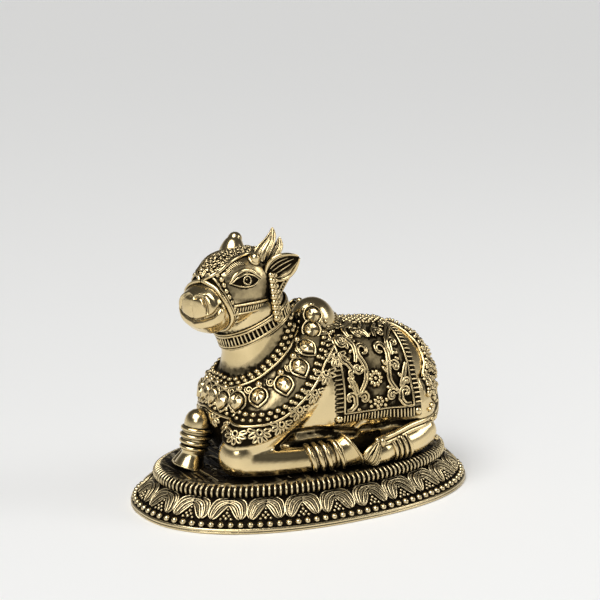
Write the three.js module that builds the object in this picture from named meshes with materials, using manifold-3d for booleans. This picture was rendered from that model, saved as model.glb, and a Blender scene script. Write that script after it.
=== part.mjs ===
// A cast brass nandi: a garlanded bull lying on an oval lotus plinth, its right knee raised.
// Millimetres. +X is the way the bull faces, +Y its left side, +Z up. The origin is the
// centre of the plinth's underside.
import * as THREE from "three";
import { mergeVertices } from "three/addons/utils/BufferGeometryUtils.js";
import Module from "manifold-3d";

// The bull, from its rump to the end of its muzzle. It is drawn 126 units long, and its pose,
// proportions and carving are in these units.
const BULL_LENGTH = 126;
const UNIT = BULL_LENGTH / 126;
// How far its rump and its hooves reach from the middle, in units.
const REACH_ENDS = 63;
const REACH_SIDES = 39;

// Plinth: a plain foot, a row of beads, a sloping band of lotus petals, a gadrooned roll, a flat top.
const END_MARGIN = 7;
const SIDE_MARGIN = 2;
const TOP_HALF_LENGTH = REACH_ENDS * UNIT + END_MARGIN;
const TOP_HALF_WIDTH = REACH_SIDES * UNIT + SIDE_MARGIN;
const PLINTH_HEIGHT = 18;
const FLARE = 12;
const FOOT_HEIGHT = 2.4;
const BEAD_PITCH = 4.1;
const BEAD_HEIGHT = 2.2;
const PETAL_PITCH = 16.5;
const PETAL_RELIEF = 1.3;
const ROLL_HEIGHT = 5.4;
const ROLL_OVERHANG = 2.2;
const RIB_PITCH = 2.55;
const RIB_RELIEF = 0.7;
// Above 2, this makes the plinth's oval fuller at its corners.
const PLAN_POWER = 2.25;

// Raised work on the figure, in the same units.
const CLOTH = 1.5;
const GEM_HALF_WIDTH = 3.2;
const GEM_HALF_LENGTH = 4.3;
const GEM_HEIGHT = 1.7;
const SCALLOP = 1.6;
const SCALLOP_TURN = 18;
const BANGLE = 0.9;

const X = new THREE.Vector3(1, 0, 0);
const Y = new THREE.Vector3(0, 1, 0);
const Z = new THREE.Vector3(0, 0, 1);
const { degToRad, lerp } = THREE.MathUtils;

const wasm = await Module();
wasm.setup();

// A place on the figure: units forward, to its left, and above the plinth's top.
const at = (x, y, z) => new THREE.Vector3(x * UNIT, y * UNIT, PLINTH_HEIGHT + z * UNIT);

function solidOf(geometry) {
  const bare = geometry.clone();
  bare.deleteAttribute("normal");
  bare.deleteAttribute("uv");
  const merged = mergeVertices(bare, 1e-4);
  return new wasm.Manifold(
    new wasm.Mesh({
      numProp: 3,
      vertProperties: merged.attributes.position.array,
      triVerts: new Uint32Array(merged.index.array),
    }),
  );
}

function geometryOf(solid) {
  const mesh = solid.getMesh();
  const geometry = new THREE.BufferGeometry();
  geometry.setAttribute("position", new THREE.BufferAttribute(new Float32Array(mesh.vertProperties), 3));
  geometry.setIndex(new THREE.BufferAttribute(new Uint32Array(mesh.triVerts), 1));
  geometry.computeVertexNormals();
  return geometry;
}

const joined = (solids) => solids.reduce((whole, piece) => whole.add(piece));

// The casting has no pockets shut in between its raised pieces.
const withoutPockets = (solid) => joined(solid.decompose().filter((shell) => shell.volume() > 0));

// A closed body through rings of points, whose counts may differ, with a fan at each end.
function skin(rings) {
  const points = rings.flat();
  const firsts = rings.map((_, r) => rings.slice(0, r).reduce((sum, ring) => sum + ring.length, 0));
  const faces = [];
  for (let r = 0; r + 1 < rings.length; r++) {
    const [below, above] = [rings[r].length, rings[r + 1].length];
    let [i, j] = [0, 0];
    while (i < below || j < above) {
      const p = firsts[r] + (i % below);
      const q = firsts[r + 1] + (j % above);
      if ((i + 1) / below <= (j + 1) / above) {
        i += 1;
        faces.push(p, firsts[r] + (i % below), q);
      } else {
        j += 1;
        faces.push(p, firsts[r + 1] + (j % above), q);
      }
    }
  }
  for (const [r, turned] of [[0, true], [rings.length - 1, false]]) {
    const ring = rings[r];
    points.push(ring.reduce((sum, p) => sum.add(p), new THREE.Vector3()).divideScalar(ring.length));
    for (let i = 0; i < ring.length; i++) {
      const [a, b] = [firsts[r] + i, firsts[r] + ((i + 1) % ring.length)];
      faces.push(points.length - 1, turned ? b : a, turned ? a : b);
    }
  }
  let volume = 0;
  for (let i = 0; i < faces.length; i += 3) {
    const [p, q, s] = [points[faces[i]], points[faces[i + 1]], points[faces[i + 2]]];
    volume += p.dot(q.clone().cross(s));
  }
  if (volume < 0) faces.reverse();
  const geometry = new THREE.BufferGeometry().setFromPoints(points);
  geometry.setIndex(faces);
  return solidOf(geometry);
}

const powered = (value, power) => Math.sign(value) * Math.abs(value) ** (2 / power);

// An oval ring of points, squarer as its power rises above 2.
function oval(centre, across, upward, halfWidth, halfHeight, sides, power = 2) {
  return Array.from({ length: sides }, (_, i) => {
    const angle = (2 * Math.PI * (i + 0.5)) / sides;
    return centre
      .clone()
      .addScaledVector(across, halfWidth * powered(Math.cos(angle), power))
      .addScaledVector(upward, halfHeight * powered(Math.sin(angle), power));
  });
}

// Rows of numbers, the first of each its place, read smoothly anywhere between them.
function smoothTable(rows) {
  const width = rows[0].length - 1;
  const places = Float32Array.from(rows, (row) => row[0]);
  const values = Float32Array.from(rows.flatMap((row) => row.slice(1)));
  const spline = new THREE.CubicInterpolant(places, values, width, new Float32Array(width));
  return (place) => Array.from(spline.evaluate(place));
}

// A limb through rows of [x, y, z, half width, half depth], with rounded ends. Bangles are given
// as [from, to, count], their range being in shares of the limb's length.
const plainLimb = { sides: 10, steps: 4, side: Y, ends: [0.8, 0.8], power: 2, place: at, bangles: [0, 0, 0] };
function limb(rows, finish) {
  const { sides, steps, side, ends, power, place, bangles } = { ...plainLimb, ...finish };
  const path = new THREE.CatmullRomCurve3(rows.map(([x, y, z]) => place(x, y, z)), false, "centripetal");
  const sizes = smoothTable(rows.map(([, , , w, d], i) => [i, w * UNIT, d * UNIT]));
  const ringAt = (t, size, shift, swell = 0) => {
    const tangent = path.getTangent(t);
    const across = side.clone().addScaledVector(tangent, -side.dot(tangent)).normalize();
    const [w, d] = sizes(t * (rows.length - 1));
    const centre = path.getPoint(t).addScaledVector(tangent, shift * Math.min(w, d));
    return oval(centre, across, tangent.clone().cross(across), w * size + swell, d * size + swell, sides, power);
  };
  const rounding = degToRad(52);
  const [from, to, count] = bangles;
  const plain = Array.from({ length: steps + 1 }, (_, i) => [i / steps, 0]);
  const swelling = Array.from({ length: 2 * count + 1 }, (_, i) => [
    lerp(from, to, i / (2 * count)),
    i % 2 ? BANGLE * UNIT : 0,
  ]);
  const rings = count ? [...plain.filter(([t]) => t < from || t > to), ...swelling] : plain;
  rings.sort(([t], [u]) => t - u);
  return skin([
    ringAt(0, Math.cos(rounding), -Math.sin(rounding) * ends[0]),
    ...rings.map(([t, swell]) => ringAt(t, 1, 0, swell)),
    ringAt(1, Math.cos(rounding), Math.sin(rounding) * ends[1]),
  ]);
}

function ball(x, y, z, rx, ry, rz) {
  const geometry = new THREE.SphereGeometry(1, 12, 8);
  geometry.scale(rx * UNIT, ry * UNIT, rz * UNIT);
  const centre = at(x, y, z);
  geometry.translate(centre.x, centre.y, centre.z);
  return solidOf(geometry);
}

const bothSides = (rows) => [1, -1].map((hand) => rows.map(([x, y, ...rest]) => [x, y * hand, ...rest]));

// Trunk: rows of [x, underside, back, half width] from the rump to the breast.
const TRUNK = [
  [-65, 15, 34, 5],
  [-63, 9, 41, 13],
  [-57, 2, 49, 21.5],
  [-46, -3, 55.5, 27.5],
  [-31, -4, 58, 29.5],
  [-14, -4, 59.5, 29],
  [6, -4, 60, 28],
  [24, -3, 54, 26],
  [37, 2, 46, 22],
  [45, 8, 38, 16],
  [49.5, 15, 29, 7],
];

function trunk() {
  const section = smoothTable(TRUNK);
  const [first, last] = [TRUNK[0][0], TRUNK[TRUNK.length - 1][0]];
  const steps = 15;
  const rings = [];
  for (let i = 0; i <= steps; i++) {
    // Rings stand closer together towards both ends, where the body rounds off.
    const x = lerp(first, last, (1 - Math.cos((Math.PI * i) / steps)) / 2);
    const [low, high, half] = section(x);
    rings.push(oval(at(x, 0, (low + high) / 2), Y, Z, half * UNIT, ((high - low) / 2) * UNIT, 20, 2.15));
  }
  return skin(rings);
}

// The head is turned to the left about an upright line through the neck.
const HEAD_TURN = degToRad(20);
const HEAD_PIVOT = [26, 0];
const headForward = X.clone().applyAxisAngle(Z, HEAD_TURN);
const headLeft = Y.clone().applyAxisAngle(Z, HEAD_TURN);
const onHead = (forward, side, z) =>
  at(HEAD_PIVOT[0], HEAD_PIVOT[1], z)
    .addScaledVector(headForward, forward * UNIT)
    .addScaledVector(headLeft, side * UNIT);

const SKULL = [
  [-9, 0, 84, 10, 10],
  [0, 0, 83.5, 13.5, 14.5],
  [9, 0, 82, 14.5, 15],
  [18, 0, 79, 13.5, 13.5],
  [26, 0, 76, 12, 11.5],
  [33, 0, 74, 12.5, 10.5],
];
// Where the noseband crosses the skull, as shares of its length.
const NOSEBAND = [0.77, 0.83, 1];
// The curly pad between the horns and the brow.
const FORELOCK = [
  [8, 0, 88, 12, 10],
  [18, 0, 87, 12.5, 9.5],
  [26, 0, 85.5, 9.5, 6.5],
];
const NECK = [
  [14, 0, 28, 24, 24],
  [20, 0, 42, 20, 21.5],
  [23, 0.5, 53, 15.5, 17],
  [25, 1.5, 63, 14.5, 16.5],
  [27, 3, 74, 13.5, 14.5],
];
const HUMP = [-5, 0, 58, 12, 10.5, 14];

// Legs: the left foreleg folded under, the right one planted with its knee up, both hind legs
// folded forward along the flanks.
const LEFT_FOREARM = [
  [6, 15, 36, 13.5, 15],
  [23, 19, 27, 11.5, 13],
  [38, 20, 15.5, 9.8, 11.5],
  [42.5, 20, 10, 9, 9.5],
];
const LEFT_SHANK = [
  [42, 22, 7.5, 8.5, 8],
  [32, 26, 6.5, 7, 7],
  [18, 29.5, 6, 5.5, 6],
  [4, 32, 6.5, 5, 6],
];
const LEFT_HOOF = [
  [4, 32, 6.5, 5.5, 6],
  [-3, 32.5, 7, 6.6, 7.2],
  [-8, 33, 7.5, 7.8, 8.6],
];
const RIGHT_FOREARM = [
  [38, -6, 22, 8, 9],
  [48, -4, 19.5, 7, 7],
  [53, -2.5, 17.5, 6, 6.2],
];
const RIGHT_SHANK = [
  [53.5, -2, 17.5, 6.4, 6.4],
  [54, -2, 10, 6, 6],
  [55, -2, 7, 5.2, 5.2],
  [57.5, -2, 0.5, 7.6, 7.2],
];
const RIGHT_TOE = [
  [54, -8, 8, 1.6, 1.6],
  [60, -9, 1, 3, 2],
];
const HAUNCH = [-40, 19, 18, 19, 13.5, 22];
const HIND_SHANK = [
  [-49, 24.5, 9, 8, 8],
  [-40, 30, 6.5, 6, 6.5],
  [-24, 34, 6, 4.6, 5.2],
];
const HIND_HOOF = [
  [-26, 34, 6, 4.6, 5],
  [-19, 34.5, 5, 5.4, 5.6],
  [-14, 35, 3.6, 4.2, 4.2],
];

const NEAR_HORN = [
  [0, 8, 93, 4.4, 4.4],
  [0.5, 9.5, 97.5, 3.8, 3.8],
  [-0.5, 10, 102, 2.6, 2.6],
  [-4.5, 9, 107, 0.7, 0.7],
];
const HORN_SPUR = [
  [-2, 9.5, 96, 2.8, 2.8],
  [-4.5, 10.5, 99.5, 2, 2],
  [-7, 10, 102.6, 0.6, 0.6],
];
const FAR_HORN = [
  [3, -7, 92, 4.6, 4.6],
  [2, -8, 96.5, 3.6, 3.6],
  [0, -8, 101.5, 0.9, 0.9],
];
const EAR = [
  [3, 13, 88.5, 3.5, 4],
  [0, 16.5, 89.5, 2.6, 5.2],
  [-4, 19, 91, 2.2, 4.6],
  [-8, 21, 92.8, 0.8, 1],
];
const face = { side: headLeft, place: onHead };

const flesh = joined([
  trunk(),
  limb(NECK, { sides: 14, steps: 5, ends: [0.5, 0.5] }),
  ball(...HUMP),
  limb(SKULL, { ...face, sides: 16, steps: 7, ends: [0.55, 0.6], power: 2.3, bangles: NOSEBAND }),
  limb(FORELOCK, { ...face, sides: 12, steps: 3 }),
  limb(LEFT_FOREARM, { sides: 12 }),
  limb(LEFT_SHANK, { bangles: [0.74, 1, 3] }),
  limb(RIGHT_FOREARM, { steps: 3 }),
  limb(RIGHT_SHANK, { bangles: [0.02, 0.5, 4], ends: [1, 0.1] }),
  ...bothSides([HAUNCH]).map(([haunch]) => ball(...haunch)),
  ...bothSides(HIND_SHANK).map((rows) => limb(rows, { bangles: [0.55, 0.92, 3] })),
]);

// What the raised work lies on: the first skin that a ray from inside the body meets, and the
// way out of the body there.
const fleshMesh = new THREE.Mesh(geometryOf(flesh), new THREE.MeshBasicMaterial({ side: THREE.DoubleSide }));
const raycaster = new THREE.Raycaster();
function skinFrom(origin, direction) {
  const out = direction.clone().normalize();
  raycaster.set(origin, out);
  return { point: raycaster.intersectObject(fleshMesh)[0].point, out };
}

// Garland: a place on it is a turn about the body, 0 at the breast and 180 at the hump, and a
// share from its inner cord to its outer one. Rows of [turn, inner rise, outer rise] in degrees.
const HEART = at(20, 0, 30);
const GARLAND = smoothTable([
  [0, 19.5, -11],
  [25, 17.8, -14],
  [50, 27, -11],
  [75, 41.5, -5.5],
  [100, 53, 9.7],
  [125, 61, 29.3],
  [150, 63.7, 40],
  [180, 65, 45],
]);
function onGarland(turn, share) {
  const [inner, outer] = GARLAND(Math.abs(turn));
  const [angle, rise] = [degToRad(turn), degToRad(lerp(inner, outer, share))];
  const flat = Math.cos(rise);
  return skinFrom(HEART, new THREE.Vector3(flat * Math.cos(angle), flat * Math.sin(angle), Math.sin(rise)));
}

// Saddle cloth: a place on it is a share from its front to its rear edge, and a lift of -1 to 1
// from the right hem over the back to the left hem. Its front is cut round the hump.
const SADDLE_FRONT = -5;
const SADDLE_REAR = -41;
const SADDLE_AXIS = 25;
const SADDLE_HEM = degToRad(94);
const SADDLE_NOTCH = 13.5;
const SADDLE_NOTCH_LIFT = 0.21;
function onSaddle(share, lift) {
  const notch = SADDLE_NOTCH * Math.sqrt(Math.max(0, 1 - (lift / SADDLE_NOTCH_LIFT) ** 2));
  const x = lerp(SADDLE_FRONT - notch, SADDLE_REAR, share);
  const angle = SADDLE_HEM * lift;
  return skinFrom(at(x, 0, SADDLE_AXIS), new THREE.Vector3(0, Math.sin(angle), Math.cos(angle)));
}

// Rump cloth: a place on it is a turn from straight back, and a share from its lower fringe up
// to the cord behind the saddle. Rows of [turn, fringe rise, cord rise] in degrees.
const RUMP = at(-36, 0, 26);
const RUMP_CLOTH = smoothTable([
  [0, -2, 74],
  [25, 0, 69],
  [40, 1, 55],
  [53, 0, 30],
  [66, 3, 16],
]);
function onRump(turn, share) {
  const [fringe, rim] = RUMP_CLOTH(Math.abs(turn));
  const [angle, rise] = [degToRad(turn), degToRad(lerp(fringe, rim, share))];
  const flat = Math.cos(rise);
  return skinFrom(RUMP, new THREE.Vector3(-flat * Math.cos(angle), flat * Math.sin(angle), Math.sin(rise)));
}

const lifted = ({ point, out }, height) => point.clone().addScaledVector(out, height * UNIT);

// A cloth as thick as its relief, on a grid of places.
function cloth(placing, [fromA, toA, countA], [fromB, toB, countB]) {
  const rings = Array.from({ length: countA + 1 }, (_, a) => {
    const placeA = lerp(fromA, toA, a / countA);
    const row = Array.from({ length: countB + 1 }, (_, b) => placing(placeA, lerp(fromB, toB, b / countB)));
    const top = row.map((place) => lifted(place, CLOTH));
    const sunk = row.map((place) => lifted(place, -CLOTH));
    return [...top, ...sunk.reverse()];
  });
  return skin(rings);
}

// A three-sided band along places on the skin, one edge up.
function band(places, radius) {
  const rings = places.map(({ point, out }, i) => {
    const before = places[Math.max(i - 1, 0)].point;
    const after = places[Math.min(i + 1, places.length - 1)].point;
    const across = after.clone().sub(before).cross(out).normalize();
    const corner = (way, reach) => point.clone().addScaledVector(way, reach * radius * UNIT);
    const sunk = (reach) => corner(across, reach).addScaledVector(out, -0.4 * radius * UNIT);
    return [corner(out, 1), sunk(1.2), sunk(-1.2)];
  });
  return skin(rings);
}

// A raised piece set flat on the skin at a place, from its outline of [across, down] in units:
// across as the place's first number grows, down as its second does.
function boss(placing, [a, b], [stepA, stepB], outline, height) {
  const { point, out } = placing(a, b);
  const across = placing(a + stepA, b).point.sub(placing(a - stepA, b).point).normalize();
  const down = placing(a, b + stepB).point.sub(placing(a, b - stepB).point).normalize();
  const upward = across.clone().cross(down).normalize();
  if (upward.dot(out) < 0) upward.negate();
  const ringAt = (lift, size) =>
    outline.map(([x, y]) =>
      lifted({ point, out: upward }, lift)
        .addScaledVector(across, x * size * UNIT)
        .addScaledVector(down, y * size * UNIT),
    );
  return skin([ringAt(-1, 1), ringAt(height, 0.55)]);
}

// A drop, narrower at the end away from the neck.
const drop = Array.from({ length: 5 }, (_, i) => {
  const angle = (2 * Math.PI * i) / 5;
  const narrowing = 1 - 0.25 * Math.max(0, Math.cos(angle));
  return [GEM_HALF_WIDTH * Math.sin(angle) * narrowing, GEM_HALF_LENGTH * Math.cos(angle)];
});
const GEM_TURNS = [7, 21.5, 37, 57, 82, 105, 127];

// The garland's ground ends in scallops, one to each flower of its fringe.
const scalloped = (turn, share) => {
  const hang = SCALLOP * (1 + Math.cos((2 * Math.PI * turn) / SCALLOP_TURN)) * 0.5;
  return onGarland(turn, share * (1.14 + 0.1 * hang));
};
const garland = [
  cloth(scalloped, [-144, 144, 32], [-0.05, 1, 3]),
  ...GEM_TURNS.flatMap((turn) => [turn, -turn]).map((turn) =>
    boss(onGarland, [turn, 0.5], [4, 0.1], drop, CLOTH + GEM_HEIGHT),
  ),
];

const saddlery = [
  cloth(onSaddle, [0, 1, 5], [-1, 1, 18]),
  cloth(onRump, [-66, 66, 10], [0, 0.97, 3]),
];

// The collar is a flat hoop round the neck, lower at the throat than at the nape.
const COLLAR_MIDDLE = at(25.9, 0, 65.4);
const COLLAR_TILT = degToRad(27.9);
const COLLAR_HALF_LENGTH = 17;
const COLLAR_HALF_WIDTH = 14.6;
const COLLAR_HEIGHT = 4.6;
const COLLAR_RELIEF = 1.1;
function collar() {
  const lengthwise = X.clone().applyAxisAngle(Y, COLLAR_TILT);
  const upward = lengthwise.clone().cross(Y);
  const ringAt = (rise, grow) => {
    const centre = COLLAR_MIDDLE.clone().addScaledVector(upward, rise * UNIT);
    const [w, d] = [(COLLAR_HALF_WIDTH + grow) * UNIT, (COLLAR_HALF_LENGTH + grow) * UNIT];
    return oval(centre, Y, lengthwise, w, d, 18);
  };
  return skin([
    ringAt(-COLLAR_HEIGHT / 2, 0),
    ringAt((COLLAR_RELIEF - COLLAR_HEIGHT) / 2, COLLAR_RELIEF),
    ringAt((COLLAR_HEIGHT - COLLAR_RELIEF) / 2, COLLAR_RELIEF),
    ringAt(COLLAR_HEIGHT / 2, 0),
  ]);
}

const harness = [collar()];

// Face: a band along each cheek and a raised almond eye.
const STRAP_HEIGHT = 74.6;
const STRAP_HALF_WIDTH = 1.5;
const EYE = [17.4, 87.2];
const almond = Array.from({ length: 6 }, (_, i) => {
  const angle = (2 * Math.PI * i) / 6;
  return [6.6 * Math.cos(angle), 2.7 * Math.sin(angle)];
});
for (const hand of [1, -1]) {
  const onCheek = (forward, z) => skinFrom(onHead(forward, 0, z), headLeft.clone().multiplyScalar(hand));
  const strap = Array.from({ length: 4 }, (_, i) => onCheek(lerp(25, 2, i / 3), STRAP_HEIGHT));
  harness.push(band(strap, STRAP_HALF_WIDTH));
  harness.push(boss(onCheek, EYE, [1, 1], almond, 1.2));
}

// The tail comes round the left haunch and lies over the hind shank, ending in a tuft.
const TAIL = [
  [-61, 0, 36, 2.6, 2.6],
  [-65, 7, 28, 2.2, 2.2],
  [-62.5, 17, 20, 2, 2],
  [-56.5, 25, 16, 2, 2],
  [-48, 30.5, 14.6, 2, 1.8],
  [-38, 33, 13.6, 2, 1.8],
  [-30, 34.5, 12.4, 1.8, 1.8],
  [-22, 37.2, 10.4, 1.6, 1.6],
];
const TUFT = [
  [-22.5, 37, 10.4, 1.6, 1.6],
  [-18, 37, 7.4, 2.2, 4.4],
  [-15.5, 37, 4.4, 2, 4],
  [-13.5, 37, 1.4, 0.8, 1.4],
];

const floor = new THREE.BoxGeometry(4 * BULL_LENGTH, 4 * BULL_LENGTH, BULL_LENGTH);
floor.translate(0, 0, PLINTH_HEIGHT - BULL_LENGTH / 2);

const bullBlank = joined([
  flesh,
  limb(LEFT_HOOF, { steps: 2, ends: [0.4, 0.15] }),
  limb(RIGHT_TOE, { sides: 6, steps: 1 }),
  ...bothSides(HIND_HOOF).map((rows) => limb(rows, { sides: 8, steps: 2 })),
  limb(NEAR_HORN, { ...face, sides: 7, ends: [0.2, 0.8] }),
  limb(HORN_SPUR, { ...face, sides: 6, steps: 2, ends: [0.2, 0.8] }),
  limb(FAR_HORN, { ...face, sides: 7, steps: 2, ends: [0.2, 0.8] }),
  ...bothSides(EAR).map((rows) => limb(rows, { ...face, side: headForward, sides: 7, steps: 3, ends: [0.2, 0.6] })),
  limb(TAIL, { sides: 6, steps: 8, side: Z }),
  limb(TUFT, { sides: 7, steps: 2 }),
  ...garland,
  ...saddlery,
  ...harness,
]);
const bull = withoutPockets(bullBlank.subtract(solidOf(floor)));

// The plinth's oval, walked in equal steps, so that beads, petals and ribs are evenly spaced.
class Plan extends THREE.Curve {
  getPoint(t, target = new THREE.Vector3()) {
    const angle = 2 * Math.PI * t;
    return target.set(
      (TOP_HALF_LENGTH + FLARE / 2) * powered(Math.cos(angle), PLAN_POWER),
      (TOP_HALF_WIDTH + FLARE / 2) * powered(Math.sin(angle), PLAN_POWER),
      0,
    );
  }
}
const plan = new Plan();
plan.arcLengthDivisions = 1000;
const GIRTH = plan.getLength();

// A row of places round the oval, spread outwards from the top's edge.
function planRow(count, spread, height) {
  return Array.from({ length: count }, (_, i) => {
    const angle = 2 * Math.PI * plan.getUtoTmapping(i / count);
    return new THREE.Vector3(
      (TOP_HALF_LENGTH + spread(i)) * powered(Math.cos(angle), PLAN_POWER),
      (TOP_HALF_WIDTH + spread(i)) * powered(Math.sin(angle), PLAN_POWER),
      height(i),
    );
  });
}

function plinthBody() {
  const plain = 72;
  const beads = Math.round(GIRTH / BEAD_PITCH);
  const petals = Math.round(GIRTH / PETAL_PITCH);
  const ribs = Math.round(GIRTH / RIB_PITCH);
  const rollFoot = PLINTH_HEIGHT - ROLL_HEIGHT;
  const petalFoot = FOOT_HEIGHT + BEAD_HEIGHT;
  const plainRow = (spread, height) => planRow(plain, () => spread, () => height);
  // Two drooping lobes to a petal, with a deep gap between petals.
  const petalRow = (height, relief) => {
    const slope = lerp(FLARE - 4.2, 0.2, (height - petalFoot) / (rollFoot - petalFoot));
    return planRow(petals * 6, (i) => slope + PETAL_RELIEF * relief[i % 6], () => height);
  };
  return skin([
    plainRow(FLARE, 0),
    plainRow(FLARE, FOOT_HEIGHT),
    planRow(
      beads * 2,
      (i) => FLARE - (i % 2 ? 2.2 : 1.3),
      (i) => FOOT_HEIGHT + BEAD_HEIGHT * (i % 2 ? 0.25 : 0.85),
    ),
    plainRow(FLARE - 4.2, petalFoot - 0.6),
    petalRow(petalFoot + 0.7, [0, 1, 0.4, 0.5, 0.4, 1]),
    petalRow(rollFoot - 1.6, [0, 1, 0.9, 0.35, 0.9, 1]),
    plainRow(0.2, rollFoot),
    planRow(
      ribs * 2,
      (i) => ROLL_OVERHANG - (i % 2 ? RIB_RELIEF : 0),
      () => rollFoot + ROLL_HEIGHT * 0.45,
    ),
    plainRow(ROLL_OVERHANG - 1, PLINTH_HEIGHT - 0.9),
    plainRow(-0.4, PLINTH_HEIGHT),
  ]);
}

const figure = new THREE.Group();
for (const [name, solid, colour] of [
  ["bull", bull, 0xc9a55c],
  ["plinth", plinthBody(), 0x9c8450],
]) {
  const brass = new THREE.MeshStandardMaterial({ color: colour, roughness: 0.28, metalness: 1 });
  const mesh = new THREE.Mesh(geometryOf(solid), brass);
  mesh.name = name;
  figure.add(mesh);
}

export default figure;
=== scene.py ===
# A cast brass nandi: a garlanded bull lying on an oval lotus plinth, its right knee raised.
# Metres. +X is the way the bull faces, +Y its left side, +Z up.
from math import atan2, copysign, cos, degrees, hypot, pi, radians, sin, sqrt, tau

import bmesh
import bpy
from mathutils import Matrix, Vector, noise
from mathutils.bvhtree import BVHTree
from mathutils.kdtree import KDTree


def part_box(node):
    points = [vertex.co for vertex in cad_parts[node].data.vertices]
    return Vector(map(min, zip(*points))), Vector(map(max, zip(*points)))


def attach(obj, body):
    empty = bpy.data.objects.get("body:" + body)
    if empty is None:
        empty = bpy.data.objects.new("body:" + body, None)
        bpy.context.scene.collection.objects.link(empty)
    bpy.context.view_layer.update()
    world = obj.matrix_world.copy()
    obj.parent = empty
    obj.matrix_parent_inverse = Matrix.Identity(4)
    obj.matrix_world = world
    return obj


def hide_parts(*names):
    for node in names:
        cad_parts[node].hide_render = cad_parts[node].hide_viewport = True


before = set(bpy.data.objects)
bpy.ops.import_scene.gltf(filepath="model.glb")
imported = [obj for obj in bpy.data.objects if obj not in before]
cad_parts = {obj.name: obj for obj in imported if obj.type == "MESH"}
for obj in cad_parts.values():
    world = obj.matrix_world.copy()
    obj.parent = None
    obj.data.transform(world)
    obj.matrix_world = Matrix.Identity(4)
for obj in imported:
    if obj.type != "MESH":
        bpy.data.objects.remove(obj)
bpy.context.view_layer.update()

MM = 0.001
PLINTH_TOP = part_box("plinth")[1][2]
X, Y, Z = Vector((1, 0, 0)), Vector((0, 1, 0)), Vector((0, 0, 1))
BOTH = (1, -1)


# Places and shapes
def at(x, y, z):
    """A place on the figure, in millimetres, counted up from the plinth's top."""
    return Vector((x, y, z)) * MM + Z * PLINTH_TOP


HEAD_TURN = radians(20)
HEAD_PIVOT = 26
CROWN_AXIS = 80
HEAD_FORWARD = Vector((cos(HEAD_TURN), sin(HEAD_TURN), 0))
HEAD_LEFT = Vector((-sin(HEAD_TURN), cos(HEAD_TURN), 0))


def on_head(forward, side, z):
    """A place on the turned head, in millimetres forward of the neck and to the head's left."""
    return at(HEAD_PIVOT, 0, z) + (HEAD_FORWARD * forward + HEAD_LEFT * side) * MM


def smooth_table(rows):
    """Rows of numbers, the first of each its place, read smoothly anywhere between them."""
    places = [row[0] for row in rows]
    spans = range(len(rows) - 1)
    secants = [
        [(b - a) / (places[i + 1] - places[i]) for a, b in zip(rows[i][1:], rows[i + 1][1:])] for i in spans
    ]

    def slope(i, k):
        sides = [secants[j][k] for j in (i - 1, i) if j in spans]
        return sum(sides) / len(sides)

    def read(place):
        i = max(j for j in spans if j == 0 or places[j] <= place)
        width = places[i + 1] - places[i]
        t = (place - places[i]) / width
        return [
            (2 * t**3 - 3 * t**2 + 1) * rows[i][k + 1]
            + (t**3 - 2 * t**2 + t) * width * slope(i, k)
            + (3 * t**2 - 2 * t**3) * rows[i + 1][k + 1]
            + (t**3 - t**2) * width * slope(i + 1, k)
            for k in range(len(secants[i]))
        ]

    return read


def compass(count):
    """Cosine and sine of equal turns round a circle."""
    turns = [tau * i / count for i in range(count)]
    return [(cos(turn), sin(turn)) for turn in turns]


def spread(start, end, count):
    return [start + (end - start) * i / count for i in range(count + 1)]


def ramp(value, low, high):
    return min(1.0, max(0.0, (value - low) / (high - low)))


def moved(places, *step):
    return [[a + b for a, b in zip(place, step)] for place in places]


def through(points, steps=6):
    """A smooth line through points given as tuples of any length."""
    read = smooth_table([[i, *point] for i, point in enumerate(points)])
    last = len(points) - 1
    return [read(place) for place in spread(0, last, last * steps)]


def steps_along(line, pitch=0.0, count=0):
    """Where equal steps along a line end, each as the points passed and a share of the next stretch."""
    lengths = [0.0]
    for a, b in zip(line, line[1:]):
        lengths.append(lengths[-1] + (b - a).length)
    count = count or max(1, round(lengths[-1] / (pitch * MM)))
    k = 0
    for goal in spread(0, lengths[-1], count):
        while k < len(line) - 2 and lengths[k + 1] < goal:
            k += 1
        yield k, (goal - lengths[k]) / max(lengths[k + 1] - lengths[k], 1e-12)


def walked(line, pitch):
    """Points at equal steps of about a pitch, in millimetres, along a line of points."""
    return [line[k].lerp(line[k + 1], share) for k, share in steps_along(line, pitch)]


def powered(value, power):
    return copysign(abs(value) ** (2 / power), value)


def oval(shape, centre, across, upward, half_width, half_height, sides, power=2.0):
    """A ring of a loft, squarer as its power rises above 2. Sizes in millimetres."""
    verts = bmesh.ops.create_circle(shape, segments=sides, radius=1)["verts"]
    for vert in verts:
        a, b = powered(vert.co.x, power), powered(vert.co.y, power)
        vert.co = centre + (across * (a * half_width) + upward * (b * half_height)) * MM
    return verts


def loft(shape, rings):
    """Bridge rings of vertices into one closed skin."""
    loops = [list({edge for vert in ring for edge in vert.link_edges}) for ring in rings]
    for lower, upper in zip(loops, loops[1:]):
        bmesh.ops.bridge_loops(shape, edges=lower + upper)
    for end in (rings[0], rings[-1]):
        shape.faces.new(end)


def limb_frame(rows, side=Y, place=at):
    """A reader of a limb at any row: its middle, its way along and across, and its half width and depth."""
    read = smooth_table([[i, *row] for i, row in enumerate(rows)])

    def frame_at(t):
        x, y, z, width, depth = read(t)
        before, after = (place(*read(t + step)[:3]) for step in (-0.02, 0.02))
        tangent = (after - before).normalized()
        across = (side - tangent * side.dot(tangent)).normalized()
        return place(x, y, z), tangent, across, width, depth

    return frame_at


HEAD = {"side": HEAD_LEFT, "place": on_head}
ROUND_END = [radians(angle) for angle in (80, 60, 40, 20)]


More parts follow.
